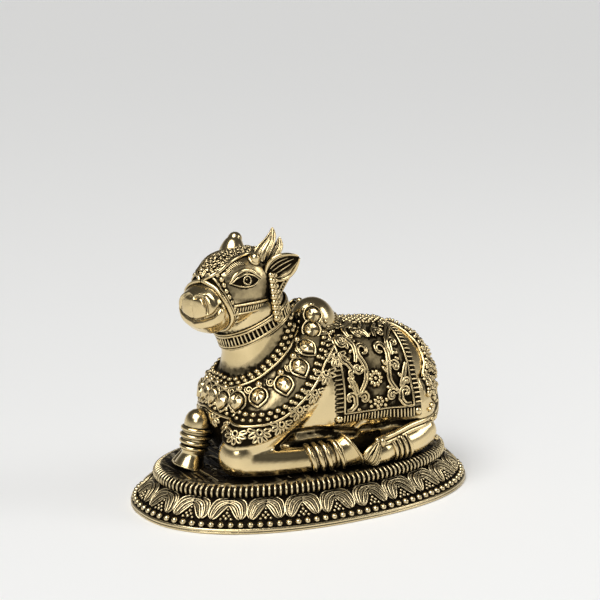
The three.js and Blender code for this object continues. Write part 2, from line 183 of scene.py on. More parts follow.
def limb(shape, rows, side=Y, sides=24, steps=4, ends=(0.8, 0.8), power=2.0, place=at):
    """A limb through rows of [x, y, z, half width, half depth], steps rings to a row, with round ends."""
    section = limb_frame(rows, side, place)
    last = len(rows) - 1

    def ring(t, size=1.0, shift=0.0):
        middle, tangent, across, width, depth = section(t)
        centre = middle + tangent * shift * min(width, depth) * MM
        return oval(shape, centre, across, tangent.cross(across), width * size, depth * size, sides, power)

    rings = [ring(0, cos(bend), -sin(bend) * ends[0]) for bend in ROUND_END]
    rings += [ring(t) for t in spread(0, last, last * steps)]
    rings += [ring(last, cos(bend), sin(bend) * ends[1]) for bend in reversed(ROUND_END)]
    loft(shape, rings)


def beside_limb(section, t, grow, turn, lean=0.0):
    """A point off a limb's skin at a row, by the cosine and sine of its turn round the limb."""
    middle, tangent, across, width, depth = section(t)
    beside = across * (width + grow) * turn[0] + tangent.cross(across) * (depth + grow) * turn[1]
    return middle + (beside + tangent * lean * turn[1]) * MM


def along_limb(rows, angle, start, end, twist=0, **kind):
    """Points on a limb's skin from one row to another, at an angle round it that turns by a twist."""
    section = limb_frame(rows, **kind)
    found = []
    for share in spread(0, 1, 16):
        turn = radians(angle + twist * share)
        t = start + (end - start) * share
        found.append(beside_limb(section, t, 0.1, (cos(turn), sin(turn))))
    return found


def hoop(rows, t, grow=0.3, lean=0.0):
    """Points round a limb at a row, its far side shifted along the limb by a lean in millimetres."""
    section = limb_frame(rows)
    return [beside_limb(section, t, grow, turn, lean) for turn in compass(28)]


def ball(shape, x, y, z, *radii):
    place = Matrix.Translation(at(x, y, z)) @ Matrix.Diagonal((*(radius * MM for radius in radii), 1))
    bmesh.ops.create_uvsphere(shape, u_segments=32, v_segments=20, radius=1, matrix=place)


def both_sides(rows):
    return [[[x, y * hand, *rest] for x, y, *rest in rows] for hand in BOTH]


def as_object(name, shape):
    mesh = bpy.data.meshes.new(name)
    shape.to_mesh(mesh)
    shape.free()
    made = bpy.data.objects.new(name, mesh)
    bpy.context.collection.objects.link(made)
    return made


def piece(name, shape, node="bull"):
    """A finished piece of the casting, from its bmesh."""
    bmesh.ops.recalc_face_normals(shape, faces=shape.faces)
    made = as_object(name, shape)
    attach(made, "root")
    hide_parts(node)
    return made


def fused(shape, voxel, smoothing):
    """The overlapping limbs of a shape as one skin, softened where they meet."""
    carrier = as_object("limbs", shape)
    remesh = carrier.modifiers.new("skin", "REMESH")
    remesh.mode = "VOXEL"
    remesh.voxel_size = voxel * MM
    soften = carrier.modifiers.new("soften", "SMOOTH")
    soften.factor = 0.5
    soften.iterations = smoothing
    skin = bmesh.new()
    skin.from_object(carrier, bpy.context.evaluated_depsgraph_get())
    bpy.data.meshes.remove(carrier.data)
    skin.normal_update()
    # The ground layer: how dark each point is made, by patina and by painted shade.
    skin.verts.layers.float.new("ground")
    for face in skin.faces:
        face.smooth = True
    return skin


def nearness(shape, points, width):
    """Every vertex within a width of some points, with its share of closeness from 0 to 1."""
    tree = KDTree(len(shape.verts))
    for i, vert in enumerate(shape.verts):
        tree.insert(vert.co, i)
    tree.balance()
    shape.verts.ensure_lookup_table()
    nearest = {}
    for point in points:
        for _, index, distance in tree.find_range(point, width * MM):
            nearest[index] = min(distance, nearest.get(index, distance))
    return [(shape.verts[i], 1 - distance / (width * MM)) for i, distance in nearest.items()]


def carve(shape, points, width, depth):
    """Press a round groove into a skin along points, or raise a ridge where the depth is negative."""
    for vert, close in nearness(shape, points, width):
        vert.co -= vert.normal * depth * MM * (0.5 - 0.5 * cos(pi * close))


def patina_and_shade_along(shape, points, width, strength=1.0):
    """Darken a skin along points: patina in grooves and round cords, and painted shade in some places."""
    layer = shape.verts.layers.float["ground"]
    for vert, close in nearness(shape, points, width):
        vert[layer] = max(vert[layer], strength * min(1, close * 2))


def darken(shape, darkness):
    """Darken a skin by what a function says of each point, for patina and for painted shade."""
    layer = shape.verts.layers.float["ground"]
    for vert in shape.verts:
        vert[layer] = max(vert[layer], darkness(vert.co))


# The trunk, from the rump to the breast: rows of [x, underside, back, half width]
TRUNK = [
    [-65, 15, 34, 5], [-63, 9, 41, 13], [-57, 2, 49, 21.5], [-46, -3, 55.5, 27.5], [-31, -4, 58, 29.5],
    [-14, -4, 59.5, 29], [6, -4, 60, 28], [24, -3, 54, 26], [36, 3, 46, 22], [43.5, 9, 38, 16],
    [47.6, 16, 29, 7],
]
TRUNK_POWER = 2.15
# Limbs: rows of [x, y, z, half width, half depth]. Knobs: [x, y, z] and three half sizes
NECK = [
    [14, 0, 28, 24, 24], [20, 0, 42, 20, 21.5], [23, 0.5, 53, 15.5, 17], [25, 1.5, 63, 14.5, 16.5],
    [27, 3, 74, 13.5, 14.5],
]
HUMP = [-5, 0, 58, 12, 10.5, 14]
LEFT_FOREARM = [
    [6, 15, 36, 13.5, 15], [23, 19, 27, 11.5, 13], [38, 20, 15.5, 9.8, 11.5], [42.5, 20, 10, 9, 9.5],
]
LEFT_KNEE = [43.4, 20.6, 9.6, 9.2, 9.6, 9.8]
LEFT_SHANK = [[42, 22, 7.5, 8.5, 8], [32, 26, 6.5, 7, 7], [18, 29.5, 6, 5.5, 6], [4, 32, 6.5, 5, 6]]
LEFT_HOOF = [[4, 32, 6.5, 5.2, 6], [-3, 32.5, 7, 6.4, 7.2], [-8, 33, 7.5, 7.8, 8.6]]
RIGHT_FOREARM = [[36, -7, 20, 8, 9], [46, -4.5, 18.5, 7, 7], [51, -2.8, 17.5, 6, 6.2]]
RIGHT_SHANK = [
    [52.2, -2, 20.6, 6.1, 6.1], [53.4, -2, 14, 6.2, 6.2], [54.6, -2, 8.4, 5.3, 5.3],
    [55.2, -2, 5.6, 5.2, 5.2], [57, -2, 0.4, 7.4, 7],
]
RIGHT_TOE = [[54, -8, 8, 1.6, 1.6], [60, -9, 1, 3, 2]]
HAUNCH = [-40, 19, 18, 19, 13.5, 22]
HIND_SHANK = [[-49, 24.5, 9, 8, 8], [-40, 30, 6.5, 6, 6.5], [-24, 34, 6, 4.6, 5.2]]
HIND_HOOF = [[-26, 34, 6, 4.6, 5], [-21.5, 34.6, 5.4, 5.4, 5.6], [-18, 35, 4.4, 4.8, 4.6]]
SKULL = [
    [-9, 0, 84, 10, 10], [0, 0, 83.5, 13.5, 14.5], [9, 0, 82, 14.5, 15], [18, 0, 79, 13.5, 13.5],
    [26, 0, 76, 12, 11.5], [31.4, 0, 74, 12.3, 10.4],
]
FORELOCK = [[8, 0, 88, 12, 10], [18, 0, 87, 12.5, 9.5], [26, 0, 85.5, 9.5, 6.5]]
NEAR_HORN = [
    [4.4, 8.4, 94, 3.8, 3.4], [2.6, 9.4, 97.6, 3.4, 2.8], [-0.4, 10, 100.6, 2.5, 2.2],
    [-3.2, 9.6, 103.8, 1.4, 1.4], [-3.9, 9.2, 107, 0.4, 0.4],
]
HORN_SPUR = [
    [-0.5, 9.8, 93, 3, 2.8], [-3.4, 10.4, 95.8, 2.5, 2.3], [-6.4, 10.6, 98.6, 1.7, 1.6],
    [-7.6, 10.2, 102.4, 0.4, 0.4],
]
FAR_HORN = [
    [5.4, -7, 92, 6.8, 5.8], [4.2, -7.4, 95.6, 6.2, 5.6], [2.8, -7.8, 98.8, 4.8, 4.6],
    [1.8, -8, 100.8, 3.3, 3.3],
]
TAIL = [
    [-61, 0, 36, 2.6, 2.6], [-65, 7, 28, 2.2, 2.2], [-62.5, 17, 20, 2, 2], [-56.5, 25, 16, 2, 2],
    [-48, 30.5, 14.6, 2, 1.8], [-38, 33, 13.6, 2, 1.8], [-30, 35, 12.2, 1.8, 1.8],
    [-23, 37, 11.4, 1.6, 1.6], [-17.6, 37.3, 10.6, 1.5, 1.5],
]
TUFT = [
    [-17.6, 37.2, 10.6, 1.5, 1.5], [-16.4, 37.8, 8.6, 1.8, 3.2], [-14.6, 38, 5.8, 2, 4.6],
    [-13.4, 37.8, 3.6, 1.7, 4.8], [-12.6, 37.4, 2.2, 0.9, 3.6],
]


def cut_at_plinth(shape):
    """Take off what lies below the plinth's top, and close the cut."""
    whole = [*shape.verts, *shape.edges, *shape.faces]
    cut = bmesh.ops.bisect_plane(shape, geom=whole, plane_co=Z * PLINTH_TOP, plane_no=Z, clear_inner=True)
    rim = [part for part in cut["geom_cut"] if isinstance(part, bmesh.types.BMEdge)]
    bmesh.ops.holes_fill(shape, edges=rim, sides=0)


def trunk(shape):
    section = smooth_table(TRUNK)
    first, last = TRUNK[0][0], TRUNK[-1][0]
    rings = []
    for bend in spread(0, pi, 48):
        x = first + (last - first) * (1 - cos(bend)) / 2
        low, high, half = section(x)
        rings.append(oval(shape, at(x, 0, (low + high) / 2), Y, Z, half, (high - low) / 2, 48, TRUNK_POWER))
    loft(shape, rings)


BODY_VOXEL = 0.7
HEAD_VOXEL = 0.45


def body_skin():
    """Trunk, neck and legs as one soft skin."""
    shape = bmesh.new()
    trunk(shape)
    limb(shape, NECK, ends=(0.5, 0.5), sides=32)
    for rows in (LEFT_FOREARM, LEFT_SHANK, *both_sides(HIND_SHANK)):
        limb(shape, rows)
    for knob in (HUMP, LEFT_KNEE, *(rows[0] for rows in both_sides([HAUNCH]))):
        ball(shape, *knob)
    return fused(shape, BODY_VOXEL, 6)


def head_skin():
    shape = bmesh.new()
    limb(shape, SKULL, sides=40, ends=(0.55, 0.6), power=2.3, **HEAD)
    limb(shape, FORELOCK, sides=32, **HEAD)
    return fused(shape, HEAD_VOXEL, 5)


class Skin:
    """A surface to lay raised work on. A place on it is a point, and the way out of the skin there."""

    def __init__(self, shape):
        shape.verts.index_update()
        self.normals = [vert.normal.copy() for vert in shape.verts]
        self.corners = [[vert.index for vert in face.verts] for face in shape.faces]
        self.tree = BVHTree.FromPolygons([vert.co.copy() for vert in shape.verts], self.corners)

    def place(self, hit):
        return hit[0], sum((self.normals[i] for i in self.corners[hit[2]]), Vector()).normalized()

    def out(self, origin, direction):
        """The place where a line from inside leaves the skin."""
        return self.place(self.tree.ray_cast(origin, direction))

    def near(self, point):
        """The place on the skin that is nearest to a point."""
        return self.place(self.tree.find_nearest(point))


def lifted(place, height):
    return place[0] + place[1] * height * MM


def line_on(placing, places, height=0.0, hand=1):
    """Points on the skin at each of a list of places, lifted off it, on the left or the right side."""
    return [lifted(placing(*place, hand=hand), height) for place in places]


# Raised work
PART_SIZE = 1500


class Work:
    """Beads, cords and ribs that make one piece, modelled in parts of about PART_SIZE points."""

    def __init__(self, name, node="bull"):
        self.name = name
        self.node = node
        self.parts = []
        self.facets = bmesh.new()
        self.strands = {}
        self.begin_part()

    def begin_part(self):
        self.shape = bmesh.new()
        self.ground = self.shape.verts.layers.float.new("ground")

    def end_part(self):
        for face in self.shape.faces:
            face.smooth = True
        self.keep(self.shape)

    def keep(self, shape):
        mesh = bpy.data.meshes.new("part")
        shape.to_mesh(mesh)
        shape.free()
        self.parts.append(mesh)

    def make_room(self):
        """Put by what has been made, as operators are slow on a large bmesh."""
        if len(self.shape.verts) > PART_SIZE:
            self.end_part()
            self.begin_part()

    def cord(self, points, radius, closed=False, taper=(1, 1)):
        """A round cord along points, its taper the share of its radius at each end. Millimetres."""
        self.strands.setdefault(radius, []).append((points, closed, taper))

    def bead(self, place, radius, height=None, across=None, stretch=1.0, segments=(8, 5)):
        """A bead half sunk in the skin, stretched along a line on it."""
        self.make_room()
        point, out = place
        if across is None:
            across = out.orthogonal()
        along = (across - out * across.dot(out)).normalized()
        turned = Matrix((along, out.cross(along), out)).transposed().to_4x4()
        size = Matrix.Diagonal((radius * stretch * MM, radius * MM, (height or radius) * MM, 1))
        matrix = Matrix.Translation(point) @ turned @ size
        across, up = segments
        bmesh.ops.create_uvsphere(self.shape, u_segments=across, v_segments=up, radius=1, matrix=matrix)

    def rungs(self, starts, ends, radius):
        """Short round bars between two lines of points."""
        for start, end in zip(starts, ends):
            self.cord([start, start.lerp(end, 0.5), end], radius, taper=(0.8, 0.8))

    def shell(self, rings, grounds=None, faceted=False):
        """A closed skin through rings of points, with how dark the ground is at each point of a ring."""
        self.make_room()
        shape = self.facets if faceted else self.shape
        made = []
        for points in rings:
            verts = bmesh.ops.create_circle(shape, segments=len(points), radius=1)["verts"]
            for i, (vert, point) in enumerate(zip(verts, points)):
                vert.co = point
                if grounds:
                    vert[self.ground] = grounds[i]
            made.append(verts)
        loft(shape, made)

    def wound(self, radius):
        """The cords of one radius as a mesh."""
        curve = bpy.data.curves.new("strands", "CURVE")
        curve.dimensions = "3D"
        curve.bevel_depth = radius * MM
        curve.bevel_resolution = 3 if radius > 0.7 else 1
        curve.use_fill_caps = True
        for points, closed, (start, end) in self.strands[radius]:
            spline = curve.splines.new("POLY")
            spline.points.add(len(points) - 1)
            spline.use_cyclic_u = closed
            for spot, point, share in zip(spline.points, points, spread(0, 1, len(points) - 1)):
                spot.co = (*point, 1)
                spot.radius = 1 - (1 - start) * max(0, 1 - 4 * share) - (1 - end) * max(0, 4 * share - 3)
        mesh = bpy.data.meshes.new_from_object(bpy.data.objects.new("strands", curve))
        mesh.shade_smooth()
        bpy.data.curves.remove(curve)
        return mesh

    def done(self):
        self.parts += [self.wound(radius) for radius in self.strands]
        self.end_part()
        self.keep(self.facets)
        whole = bmesh.new()
        for mesh in self.parts:
            whole.from_mesh(mesh)
            bpy.data.meshes.remove(mesh)
        return piece(self.name, whole, self.node)


# Garland
HEART = at(20, 0, 30)
# Rows of [turn, inner rise, outer rise] in degrees
GARLAND = smooth_table([
    [0, 19.5, -4],
    [25, 17.8, -8],
    [50, 27, -9],
    [75, 41.5, -5.5],
    [100, 53, 9.7],
    [125, 61, 29.3],
    [150, 62.5, 39],
    [180, 65, 43],
])
GARLAND_RADIUS = 33
GARLAND_END = 150
GARLAND_FOOT = 8
GARLAND_MARGIN = 6.2
# How far round the garland reaches on the hump at each rise
hump_edge = smooth_table([
    [30, 155], [44, 158.6], [50, 158.1], [55, 159.2], [59, 161.4], [63, 164.5], [70, 168],
])


def way_out(turn, rise):
    turn, rise = radians(turn), radians(rise)
    return Vector((cos(rise) * cos(turn), cos(rise) * sin(turn), sin(rise)))


def turn_and_rise(way):
    """The turn to either side and the rise of a way out, in degrees."""
    turn = atan2(abs(way.y), way.x)
    return degrees(turn), degrees(atan2(way.z, hypot(way.x, way.y)))


def from_heart(point):
    """The place on the body's skin in the way from the heart to a point."""
    return body_surface.out(HEART, point - HEART)


def on_garland(turn, share, drop=0.0, hand=1):
    """A place by its turn from the breast to the hump, its share of the way from the inner cord to the
    outer one, and a drop in millimetres away from the neck.
    """
    inner, outer = GARLAND(abs(turn))
    rise = inner + (outer - inner) * share - degrees(drop / GARLAND_RADIUS)
    return body_surface.out(HEART, way_out(turn * hand, rise))


# Saddle cloth, its front cut round the hump
SADDLE_FRONT = -5
SADDLE_LENGTH = 36
SADDLE_AXIS = 25
SADDLE_HEM = 94
SADDLE_DEPTH = 50
SADDLE_NOTCH = 13.5
SADDLE_NOTCH_DEPTH = 39.5


def saddle_front(up):
    """How far forward the panel's front edge is at a height."""
    reach = (SADDLE_DEPTH - up) / (SADDLE_DEPTH - SADDLE_NOTCH_DEPTH)
    return SADDLE_FRONT - SADDLE_NOTCH * sqrt(max(0, 1 - reach**2))


def on_saddle(back, up, hand=1):
    """A place by its millimetres back from the front edge, and up from the hem over the back."""
    front = saddle_front(up)
    x = front - back * (front - SADDLE_FRONT + SADDLE_LENGTH) / SADDLE_LENGTH
    angle = radians(SADDLE_HEM) * (1 - up / SADDLE_DEPTH) * hand
    return body_surface.out(at(x, 0, SADDLE_AXIS), Vector((0, sin(angle), cos(angle))))


def saddle_place(point):
    """How far back and up on the saddle cloth a point is."""
    height = (point.z - PLINTH_TOP) / MM - SADDLE_AXIS
    angle = degrees(atan2(abs(point.y) / MM, height))
    up = SADDLE_DEPTH * (1 - angle / SADDLE_HEM)
    front = saddle_front(up)
    return (front - point.x / MM) * SADDLE_LENGTH / (front - SADDLE_FRONT + SADDLE_LENGTH), up


# Rump cloth
RUMP = at(-36, 0, 26)
RUMP_END = 66
# Rows of [turn, fringe rise, cord rise] in degrees
RUMP_CLOTH = smooth_table([
    [0, -2, 74],
    [25, 0, 69],
    [40, 1, 55],
    [53, 0, 30],
    [66, 3, 16],
])


def on_rump(turn, share, hand=1):
    """A place by its turn from straight back, and its share of the way up from the fringe to the cord."""
    fringe, rim = RUMP_CLOTH(abs(turn))
    return body_surface.out(RUMP, way_out(180 - turn * hand, fringe + (rim - fringe) * share))


def from_rump(point):
    return body_surface.out(RUMP, point - RUMP)


CLOTH = 1.1
PANEL_DARK = 0.74


def cloth_cover(point):
    """How far a point of the skin is under a cloth, 0 to 1, and how dark its ground is."""
    turn, rise = turn_and_rise(point - HEART)
    inner, outer = GARLAND(turn)
    drop, length = (radians(angle) * GARLAND_RADIUS for angle in (inner - rise, inner - outer))
    garland = 0.0
    if point.z > PLINTH_TOP + GARLAND_FOOT * MM and turn < 169:
        garland = ramp(drop, -6.6, -5.8) * (1 - ramp(drop, length + GARLAND_MARGIN, length + 7.2))
        if turn > 148:
            garland = min(garland, ramp(hump_edge(rise)[0] - turn, 0, 1.5))
    band = ramp(drop, 2.0, 4.5) * (1 - ramp(drop, length - 5.6, length - 4.6))
    back, up = saddle_place(point)
    saddle = ramp(back, -4.4, -3.8) * (1 - ramp(back, 38.8, 39.4)) * ramp(up, -3.9, -3.3)
    turn, rise = turn_and_rise(point - RUMP)
    fringe, rim = RUMP_CLOTH(min(180 - turn, RUMP_END))
    share = (rise - fringe) / (rim - fringe)
    rump = 0.0
    if 180 - turn < 68 and point.x < RUMP.x:
        rump = ramp(share, -0.03, 0.02) * (1 - ramp(share, 0.96, 1.0))
    return max(garland, saddle, rump), max(garland * (1 - 0.35 * band), saddle * PANEL_DARK, rump)


def raise_cloths(shape):
    """Lift the skin under each cloth, and keep how dark its ground is in a layer."""
    layer = shape.verts.layers.float["ground"]
    for vert in shape.verts:
        cover, dark = cloth_cover(vert.co)
        vert[layer] = dark
        vert.co += vert.normal * cover * CLOTH * MM
    shape.normal_update()


# Folds where the legs and the belly meet: points, then a groove's width, depth and darkness, that darkness
# patina and painted shade in the crease
FOLDS = [
    ([(29.1, 28.2, 12.2), (25.2, 27.5, 15.5), (21.2, 27.6, 18.6), (16.8, 26.1, 18.9)], 2.0, 0.6, 1.0),
    (
        [(15.8, 26.1, 16.5), (8.5, 26.8, 16.5), (0.8, 26.8, 15.5), (-7.3, 26.4, 13.6), (-12.6, 26.3, 12.4)],
        3.4, 2.6, 1.0,
    ),
    (
        [(-15.9, 26.9, 15.2), (-24.2, 27.3, 15), (-30.4, 30.3, 17), (-34.4, 31.6, 16.1), (-42.3, 32.8, 15.7)],
        2.2, 1.3, 0.7,
    ),
    ([(-9.9, 26.4, 14.6), (-13.5, 27.4, 17.6), (-17.1, 28.4, 20.6), (-21.1, 30.5, 22.9)], 1.8, 0.7, 0.4),
]


def fold_skin(shape):
    """Press the folds in, those behind the forelegs on both sides, and darken them with patina and painted
    shade.
    """
    for marks, width, depth, darkness in FOLDS:
        for rows in both_sides(marks) if marks[0][0] < 0 else [marks]:
            skin = Skin(shape)
            line = [skin.near(at(*place))[0] for place in through(rows, 8)]
            carve(shape, line, width, depth)
            # Patina and painted shade darken the crease.
            patina_and_shade_along(shape, line, width * 0.8, darkness)
            shape.normal_update()


def painted_breast_shade(point):
    """How dark painted shade makes a point between the forelegs, under the chest."""
    x, y, z = (point - at(0, 0, 0)) / MM
    return ramp(x, 26, 32) * ramp(y, -16, -12) * (1 - ramp(y, 8, 11.5)) * (1 - ramp(z, 19, 23))


body = body_skin()
raise_cloths(body)
fold_skin(body)
# Painted shade under the chest, between the forelegs.
darken(body, painted_breast_shade)
body_surface = Skin(body)
cut_at_plinth(body)
head = head_skin()
head_surface = Skin(head)
HEAD_MIDDLE = on_head(26, 0, 77)


def from_head(point):
    """The place on the head's skin in the way from its middle to a point."""
    return head_surface.out(HEAD_MIDDLE, point - HEAD_MIDDLE)


def onto_head(forward, side, z, hand=1):
    return from_head(on_head(forward, side * hand, z))


def on_cheek(forward, z, hand=1):
    return head_surface.out(on_head(forward, 0, z), HEAD_LEFT * hand)


def on_crown(forward, angle, hand=1):
    """A place on top of the head, by its angle from upright."""
    lean = radians(angle) * hand
    return head_surface.out(on_head(forward, 0, CROWN_AXIS), Z * cos(lean) + HEAD_LEFT * sin(lean))


# Nostril's wing, lower lip, nostril, the fold behind it and mouth: places, a groove's width and depth
FACE_LINES = [
    ([(36.2, 6.6, 82), (36.2, 8.2, 80.6), (36.2, 9.5, 78.8), (36, 9.9, 77.2), (36.6, 9.4, 75.6)], 1.5, -0.25),
    ([(36.6, 0, 67.4), (36.2, 3.4, 67.4), (35.3, 8, 69.1), (33.6, 10.4, 71.8), (32, 11.6, 74.6)], 3.2, -0.5),
    ([
        (37.8, 1.6, 81.6), (37, 4, 82.2), (36.8, 5.6, 81.4), (37.1, 6.7, 80.1), (37.2, 7.5, 78.7),
        (37.4, 8.1, 76.9), (37.3, 8.3, 75.4),
    ], 1.25, 1.2),
    ([(35.3, 7.2, 83), (34.9, 9.4, 81.4), (34.8, 10.6, 79), (34.9, 10.8, 77)], 1.1, 0.15),
    ([
        (37.4, 0, 70.5), (37.3, 2.6, 70.8), (37.3, 5.6, 71.6), (36.8, 8.5, 72.8), (35.4, 10.3, 74.2),
        (34.2, 11.5, 76.2), (32.4, 11.7, 77.9), (30.9, 11.6, 78.3),
    ], 1.5, 1.6),
]
PHILTRUM = [(39, 0, 78), (38.2, 0, 74.6), (37.4, 0, 70.8)]


def carve_face(shape):
    """Nostrils with raised wings, the mouth and the lips."""
    for hand in BOTH:
        for marks, width, depth in FACE_LINES:
            line = line_on(onto_head, through(marks, 10), 0, hand)
            carve(shape, line, width, depth)
            if depth > 0:
                patina_and_shade_along(shape, line, width * 0.7, min(1, depth))
    carve(shape, line_on(onto_head, through(PHILTRUM, 10)), 0.9, 0.35)
    shape.normal_update()


BROW = [(31, 9), (29.4, 24), (25.9, 27), (20, 24), (9.8, 21), (4.6, 31), (0.9, 40)]
brow_angle = smooth_table(sorted([forward, angle] for forward, angle in BROW))
NOSEBAND = [
    (30.8, 0.3, 86.9), (30.4, 6, 84.8), (30.1, 10.3, 81.5), (28.3, 11.9, 77.2), (25.6, 11.5, 72.5),
    (24.3, 9.2, 68.1), (22.9, 5, 65), (22.5, 0, 64),
]


def forelock_pad(point):
    """How dark a point is inside the brow cord."""
    way = point - on_head(0, 0, CROWN_AXIS)
    forward = way.dot(HEAD_FORWARD) / MM
    if not 0 < forward < 31.5 or way.z <= 0:
        return 0.0
    angle = abs(degrees(atan2(way.dot(HEAD_LEFT), way.z)))
    edge = brow_angle(min(forward, 30.9))[0]
    return 0.9 * (1 - ramp(angle, edge - 1.5, edge + 1))


def cheek_row(z, start=25, end=2, count=16):
    return [(forward, z) for forward in spread(start, end, count)]


def shade_head(shape):
    """The patina that outlines the bridle's cords, and painted shade that lies softly round the eyes as a
    dark reflection.
    """
    noseband = through(NOSEBAND, 10)
    for placing, places, width, strength in (
        (on_crown, through(BROW), 1.5, 1),
        (on_crown, moved(through(BROW[1:6]), 0, -8), 1.6, 1),
        (onto_head, moved(noseband, -0.9, 0, 0), 2.1, 1),
        (onto_head, moved(noseband, -3.3, 0, 0), 1.9, 1),
        (on_cheek, cheek_row(74.2, count=24), 1.5, 1),
        (on_cheek, cheek_row(75.9, count=24), 1.5, 1),
        # Painted shade: soft dark patches round each eye stand in for a dark reflection.
        (on_cheek, through([(25, 84), (19, 81.6), (12, 80.8), (6.5, 83)]), 7, 0.62),
        (on_cheek, through([(23, 91), (16, 93.8), (10, 92), (6.5, 88)]), 4, 0.5),
    ):
        for hand in BOTH:
            patina_and_shade_along(shape, line_on(placing, places, 0, hand), width, strength)


carve_face(head)
darken(head, forelock_pad)
head_surface = Skin(head)
shade_head(head)


def garland_line(share, drop=0.0, height=0.0, count=180):
    turns = spread(-GARLAND_END, GARLAND_END, count)
    return line_on(on_garland, [(turn, share, drop) for turn in turns], height)


# Painted shade: a soft dark band on the neck, just above the garland's inner cord, stands in for a dark
# reflection.
patina_and_shade_along(body, garland_line(0, -9, count=90), 5.5, 0.6)


def curl(centre, radius, start, sweep, shrink=0.4):
    """Places along a curl, winding inwards from its start angle through its sweep, in degrees."""
    places = []
    for share in spread(0, 1, max(6, round(abs(sweep) / 24))):
        angle = radians(start + sweep * share)
        size = radius * (1 - (1 - shrink) * share)
        places.append((centre[0] + size * cos(angle), centre[1] + size * sin(angle)))
    return places


# Rows of beads: their drop from the inner cord (0) or from the outer one (1), their pitch and radius
BEAD_ROWS = [(-5.0, 0, 3.4, 1.15), (-2.3, 0, 3.4, 1.1), (-4.1, 1, 3.7, 1.15), (-2.0, 1, 3.7, 0.95)]
# Gems of one side, as their turn and share
GEMS = [(7, 0.5), (21.5, 0.5), (37, 0.5), (57, 0.5), (82, 0.5), (103, 0.48), (122, 0.41)]
FLORET_PITCH = 10.3
GEM_HALF_LENGTH = 5.0
GEM_HALF_WIDTH = 4.2
# The two gems on the hump's side, and the line that rounds the garland off above them
HUMP_GEMS = [(2.2, 12.4, 59.4), (-0.1, 9.6, 65.4)]
HUMP_LINE = [
    (3.2, 3.9, 66.6), (0.9, 5.3, 68.4), (-2, 7.4, 69), (-4.6, 9.3, 66.8), (-6.4, 10.6, 63.6),
    (-8.3, 11.1, 59.8),
]
HUMP_SIDE = Vector((0.3, 0.83, 0.47))


def garland_work():
    work = Work("garland")
    for share in (0, 1):
        work.cord(garland_line(share, height=0.35, count=150), 0.62)
    for drop, share, pitch, radius in BEAD_ROWS:
        for point in walked(garland_line(share, drop), pitch):
            place = from_heart(point)
            work.bead(place, radius, across=Z.cross(place[1]), stretch=1.25)
    for point in walked(garland_line(1, 2.3), FLORET_PITCH):
        floret(work, point)
    for hand in BOTH:
        rim = [body_surface.near(at(x, y * hand, z))[0] for x, y, z in through(HUMP_LINE)]
        start, end = (on_garland(GARLAND_END, share, hand=hand)[0] for share in (0, 1))
        for point in walked([start, *rim, end], 3.2):
            work.bead(body_surface.near(point), 1.1)
        for turn, share in GEMS:
            above, below = (on_garland(turn, share, drop, hand)[0] for drop in BOTH)
            gem(work, on_garland(turn, share, 0, hand), above - below)
        for x, y, z in HUMP_GEMS:
            out = Vector((HUMP_SIDE.x, HUMP_SIDE.y * hand, HUMP_SIDE.z)).normalized()
            gem(work, (at(x, y * hand, z), out), -Z + out * out.z, laid=False)
        for (turn, share), (after, _) in zip(GEMS, GEMS[1:]):
            twirl(work, on_garland((turn + after) / 2, share, -5.6, hand))
    return work.done()


def floret(work, point):
    """A hanging half rosette: a ring with looped petals fanned below it."""
    out = from_heart(point)[1]
    down = (-Z - out * -Z.dot(out)).normalized()
    away = out.cross(down)

    def loop(middle, along, half_length, half_width, radius, height):
        beside = out.cross(along)
        spots = [middle + (along * half_length * a + beside * half_width * b) * MM for a, b in compass(10)]
        work.cord([lifted(from_heart(spot), height) for spot in spots], radius, closed=True)

    for angle in spread(-99, 99, 6):
        along = down * cos(radians(angle)) + away * sin(radians(angle))
        loop(point + along * 3.6 * MM, along, 1.7, 0.75, 0.48, 0.4)
    loop(point, down, 1.2, 1.2, 0.52, 0.6)


def gem(work, place, down, laid=True):
    """A drop-shaped gem, cut in facets and set in a raised rim, with a small round gem above it."""
    point, out = place
    down = down.normalized()
    across = out.cross(down)

    def outline(count, size, height, uneven=0.0):
        ring = []
        for k in range(count):
            angle = tau * k / count
            turn = min(angle, tau - angle)
            along = 1 - 2 * turn / pi if turn < pi / 2 else cos(turn)
            beside = across * sin(angle) * GEM_HALF_WIDTH
            spot = point + (down * along * GEM_HALF_LENGTH + beside) * size * MM
            ring.append(lifted(body_surface.near(spot) if laid else (spot, out), height + uneven * (-1) ** k))
        return ring

    work.cord(outline(24, 1, 0.35), 0.5, closed=True)
    facets = ((0.84, -0.6 if laid else -3), (0.84, 0.5), (0.6, 1.7, 0.3), (0.2, 2.3))
    work.shell([outline(9, *facet) for facet in facets], faceted=True)
    work.bead(body_surface.near(point - down * 6.2 * MM), 1.7, height=1.8, segments=(12, 8))


def twirl(work, place):
    """A small spiral between two gems."""
    point, out = place
    along = out.orthogonal().normalized()
    beside = out.cross(along)
    line = []
    for k in range(19):
        angle = radians(34 * k)
        way = along * cos(angle) + beside * sin(angle)
        line.append(lifted(body_surface.near(point + way * (2.0 - 0.088 * k) * MM), 0.35))
    work.cord(line, 0.42, taper=(0.6, 1))


VINE_GAP = 0.74
